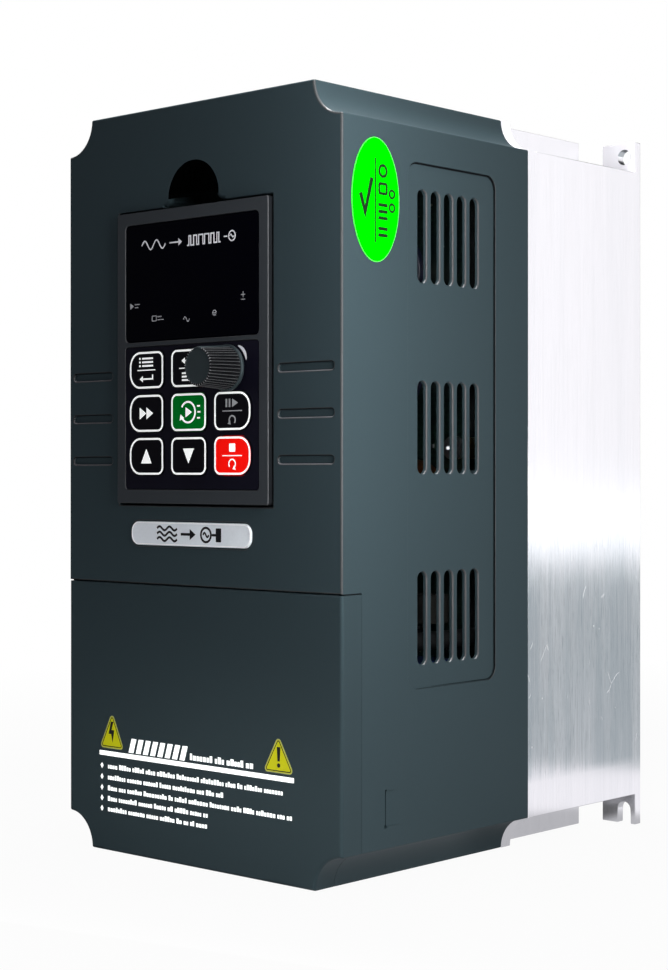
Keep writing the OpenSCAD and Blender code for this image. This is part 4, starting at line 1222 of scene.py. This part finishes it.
# shapes kept as modelled: only their materials change
DRESS = {
    "black": ("fan_frame_left", "fan_frame_right", "fan_rotor_left", "fan_rotor_right",
              "power_module", "rectifier_bridge", "power_terminal_block", "keypad_socket",
              "led_display", "tact_switches", "keypad_plug"),
    "steel": ("fan_guards", "housing_screws", "power_board_screws", "power_module_screws",
              "rectifier_screw", "power_terminal_screws", "ground_screw",
              "control_board_screws", "control_terminal_screws", "keypad_screws"),
    "lead_red": ("fan_cables",),
    "rubber": ("cable_grommets",),
    # the board carrier in the near-black painted shade
    "deep": ("board_carrier",),
    "pcb": ("power_board", "control_board", "keypad_board"),
    "brass": ("standoffs",),
    "pad": ("thermal_pad",),
    "cap_sleeve": ("bus_capacitors",),
    "ceramic": ("precharge_resistor",),
    "blue": ("precharge_relay", "current_sensors"),
    "tape": ("flyback_transformer",),
    "winding": ("common_mode_choke",),
    "terminal_green": ("control_terminal_block",),
    "ribbon": ("ribbon_cable",),
    "shaft": ("potentiometer", "pot_shaft"),
}
for mat, nodes in DRESS.items():
    for node in nodes:
        slots = NODES[node].data.materials
        slots.clear()
        slots.append(MATS[mat])


# ------------------------------------------------------------------ small board parts
GRID = 1.27   # placing pitch on the boards


def block(shape, x, z, width, height, foot_y, thick, soft=0.12):
    """Small body with softened edges that stands forwards from foot_y."""
    corner = min(soft * 1.2, width / 3, height / 3)
    slab(shape, [rounded_rect(width, height, corner, x, z, 2)], on_front(foot_y), 0, thick,
         min(soft, thick / 3))


def add_chip(chips, tins, x, z, width, height, thick, y):
    """Chip body with four leads along its top and four along its bottom."""
    block(chips, x, z, width, height, y - 0.05, thick - 0.05)
    for i in range(4):
        lead_x = x - width / 2 + width * (i + 0.5) / 4
        for sign in (-1, 1):
            block(tins, lead_x, z + sign * (height / 2 + 0.35), 0.4, 0.8, y - 0.01, 0.44, 0.06)


def add_passive(bodies, tins, x, z, width, height, thick, y):
    """Two-ended part: a body between metal caps along its longer side."""
    across, up = (1, 0) if width >= height else (0, 1)
    block(bodies, x, z, width * (1 - 0.4 * across), height * (1 - 0.4 * up),
          y - 0.02, thick - 0.02, 0.08)
    for sign in (-1, 1):
        block(tins, x + sign * across * width * 0.41, z + sign * up * height * 0.41,
              width * (1 - 0.8 * across), height * (1 - 0.8 * up), y - 0.01, thick + 0.01, 0.06)


def populate(tag, y, area, avoid, count, seed):
    """Scatters small parts over a board's front face at depth y, clear of the boxes in avoid.

    area and the boxes are (x0, x1, z0, z1)."""
    rnd = random.Random(seed)
    chips, tins, tans = bmesh.new(), bmesh.new(), bmesh.new()
    used = list(avoid)
    placed = 0
    for _ in range(count * 30):
        if placed >= count:
            break
        kind = rnd.random()
        width, height, thick = ((5.0, 4.0, 1.5) if kind < 0.14 else
                                (3.2, 1.7, 0.7) if kind < 0.5 else (2.0, 1.3, 0.6))
        if rnd.random() < 0.5:
            width, height = height, width
        x = rnd.uniform(area[0] + width, area[1] - width)
        z = rnd.uniform(area[2] + height, area[3] - height)
        x, z = round(x / GRID) * GRID, round(z / GRID) * GRID
        x0, x1 = x - width / 2 - 1.2, x + width / 2 + 1.2
        z0, z1 = z - height / 2 - 1.0, z + height / 2 + 1.0
        if any(x0 < b[1] and x1 > b[0] and z0 < b[3] and z1 > b[2] for b in used):
            continue
        used.append((x0, x1, z0, z1))
        placed += 1
        if thick > 1:
            add_chip(chips, tins, x, z, width, height, thick, y)
        else:
            bodies = tans if rnd.random() < 0.55 else chips
            add_passive(bodies, tins, x, z, width, height, thick, y)
    new_piece(tag + "_chips", chips, MATS["black"], "chassis", weld=False)
    new_piece(tag + "_terminations", tins, MATS["tin"], "chassis", weld=False)
    new_piece(tag + "_passives", tans, MATS["ceramic"], "chassis", weld=False)


def footprints(*nodes, grow=0.8):
    boxes = [box_mm(node) for node in nodes]
    return [(low.x - grow, high.x + grow, low.z - grow, high.z + grow) for low, high in boxes]


def screw_zones(screw_x, heights, reach):
    """Square clear zones round screws at both sides."""
    return [(sign * screw_x - reach, sign * screw_x + reach, z - reach, z + reach)
            for sign in (-1, 1) for z in heights]


control_y = box_mm("control_board")[1].y - 1.6
control_screws = screw_zones(45, (-44, 99), 4)
populate("control_board_low", control_y, (-48, 48, -48, -21),
         footprints("control_terminal_block") + control_screws + [(-39, 27, -21, -13)],
         count=46, seed=3)
populate("control_board_high", control_y, (-48, 48, -12, 94),
         footprints("keypad_socket") + control_screws + [(-12, 6, 38, 56), (22, 34, 34, 74)],
         count=60, seed=5)
populate("power_board", box_mm("power_board")[0].y, (-49, 49, -82, 22),
         footprints("power_terminal_block", "current_sensors", "precharge_resistor",
                    "precharge_relay", "flyback_transformer", "common_mode_choke")
         + screw_zones(46, (-76, 12), 5), count=46, seed=9)

# ------------------------------------------------------------------ floor
scene = bpy.context.scene
scene.view_settings.view_transform = "Standard"
scene.view_settings.look = "None"
scene.view_settings.exposure = 0.0

FLOOR_Z = (HOUSING_LO.z - 0.25) * MM


def floor_material():
    """Paper that the camera sees as white, and reflections as a bright sheet on a dark table."""
    mat = Mat("studio_floor_paper")
    rays = mat.add("ShaderNodeLightPath").outputs
    material = mat.finish(
        Base_Color=mat.mix(mat.noise(scale=400), (0.15, 0.15, 0.152), (0.17, 0.17, 0.172)),
        Roughness=0.85, Specular_IOR_Level=0.15)
    far = mat.add("ShaderNodeVectorMath", {0: mat.coords}, operation="LENGTH").outputs["Value"]
    white = mat.add("ShaderNodeEmission", {0: (1, 1, 1), 1: 1.0}).outputs[0]
    seen = mat.blend_shaders(
        mat.times(rays["Is Camera Ray"], mat.ramp(far, (0.25, 0.96), (0.6, 1.0))),
        mat.bsdf.outputs[0], white)
    # the sheet lies round a spot under the product; within about 4.5 cm of the spot it is darker, a
    # painted shadow
    spot = mat.add("ShaderNodeVectorMath", {0: mat.coords, 1: (0.06, -0.03, FLOOR_Z)},
                   operation="DISTANCE").outputs["Value"]
    sheet = (0.96, 0.95, 0.985)
    tone = mat.ramp(mat.times(spot, 0.4), (0.018, (0.50, 0.50, 0.52)), (0.023, sheet),
                    (0.0615, sheet), (0.067, (0.50, 0.535, 0.56)), (0.70, (0.44, 0.48, 0.50)))
    # painted shadow under the product: dimmer to the left of its right-hand wall
    strength = mat.ramp(mat.times(mat.axis(0), 10.0), (0.40, 0.22), (0.50, 1.0))
    table = mat.add("ShaderNodeEmission", {0: tone, 1: strength}).outputs[0]
    output = next(n for n in mat.tree.nodes if n.type == "OUTPUT_MATERIAL")
    mat.feed(output.inputs[0], mat.blend_shaders(rays["Is Glossy Ray"], seen, table))
    return material


shape = bmesh.new()
bmesh.ops.create_grid(shape, x_segments=8, y_segments=8, size=6.0)
for vert in shape.verts:
    vert.co.z = FLOOR_Z
floor = to_object("studio_floor", shape)
floor.data.materials.append(floor_material())


# ------------------------------------------------------------------ world
def build_world():
    """White to the camera; for all else a dim grey, slightly lighter overhead."""
    world = bpy.data.worlds.new("studio")
    scene.world = world
    world.use_nodes = True
    world.node_tree.nodes.clear()
    sky = Graph(world.node_tree)
    coords = sky.add("ShaderNodeTexCoord").outputs["Generated"]
    height = sky.add("ShaderNodeSeparateXYZ", {0: coords}).outputs[2]
    height = sky.add("ShaderNodeMapRange", {0: height, 1: -1, 2: 1}).outputs[0]
    tone = sky.ramp(height, (0.35, (0.035, 0.035, 0.037)), (0.85, (0.05, 0.051, 0.053)))
    grey = sky.add("ShaderNodeBackground", {0: tone, 1: 1.0}).outputs[0]
    white = sky.add("ShaderNodeBackground", {0: (1, 1, 1), 1: 1.0}).outputs[0]
    camera_ray = sky.add("ShaderNodeLightPath").outputs["Is Camera Ray"]
    sky.add("ShaderNodeOutputWorld", {0: sky.blend_shaders(camera_ray, grey, white)})


build_world()

# ------------------------------------------------------------------ lights
# name, place, aim, size, watts [, colour]
SOFTBOXES = [
    ("key_right", (0.130, -0.185, 0.105), (0.0625, -0.150, 0.090), (0.05, 0.30), 0.50),
    ("fill_front", (-0.25, -1.7, 1.1), (0, -0.16, 0), (1.3, 1.3), 4.35, (1.0, 0.87, 1.03)),
    ("card_rear_right", (1.25, 0.95, 0.55), (0.06, -0.03, 0.55), (1.5, 1.3), 6.6,
     (0.99, 0.98, 1.0)),
    ("top_right", (0.9, 0.1, 1.3), (0, -0.08, 0.1), (1.0, 1.0), 8.8),
    ("left_rear", (-1.4, 0.7, 0.7), (0, 0, 0), (1.2, 1.2), 12.0),
    ("card_left_front", (-0.95, -1.25, 0.33), (0, -0.16, 0.33), (0.8, 0.7), 0.80),
    ("low_side", (0.37, -0.14, -0.02), (0.0625, -0.12, -0.10), (0.20, 0.08), 0.40),
    ("overhead", (-0.02, -0.07, 0.60), (0.03, -0.09, 0.12), (0.14, 0.20), 7.0),
    ("rim_camera", (0.66, -0.74, 0.22), (0.05, -0.16, 0.03), (0.3, 0.3), 0.8),
    ("low_strip", (0.02, -0.245, -0.119), (0, -0.16, -0.112), (0.34, 0.03), 0.16),
]


def softbox(name, place, aim, size, watts, colour=(1, 1, 1)):
    light = bpy.data.lights.new(name, "AREA")
    light.shape = "RECTANGLE"
    light.size, light.size_y = size
    light.energy = watts
    light.color = colour
    obj = add_object(name, light)
    obj.location = place
    obj.rotation_euler = (Vector(aim) - Vector(place)).to_track_quat("-Z", "Y").to_euler()
    obj.visible_camera = False


for row in SOFTBOXES:
    softbox(*row)

# ------------------------------------------------------------------ camera
lens = bpy.data.cameras.new("camera")
lens.sensor_width = 36.0
lens.lens = 71.457
lens.shift_y = -0.01244
lens.clip_start = 0.01
lens.clip_end = 50
camera = add_object("camera", lens)
camera.location = (0.4459, -0.5851, 0.0037)
camera.rotation_euler = (RAD(90), 0, RAD(42.282))
scene.camera = camera
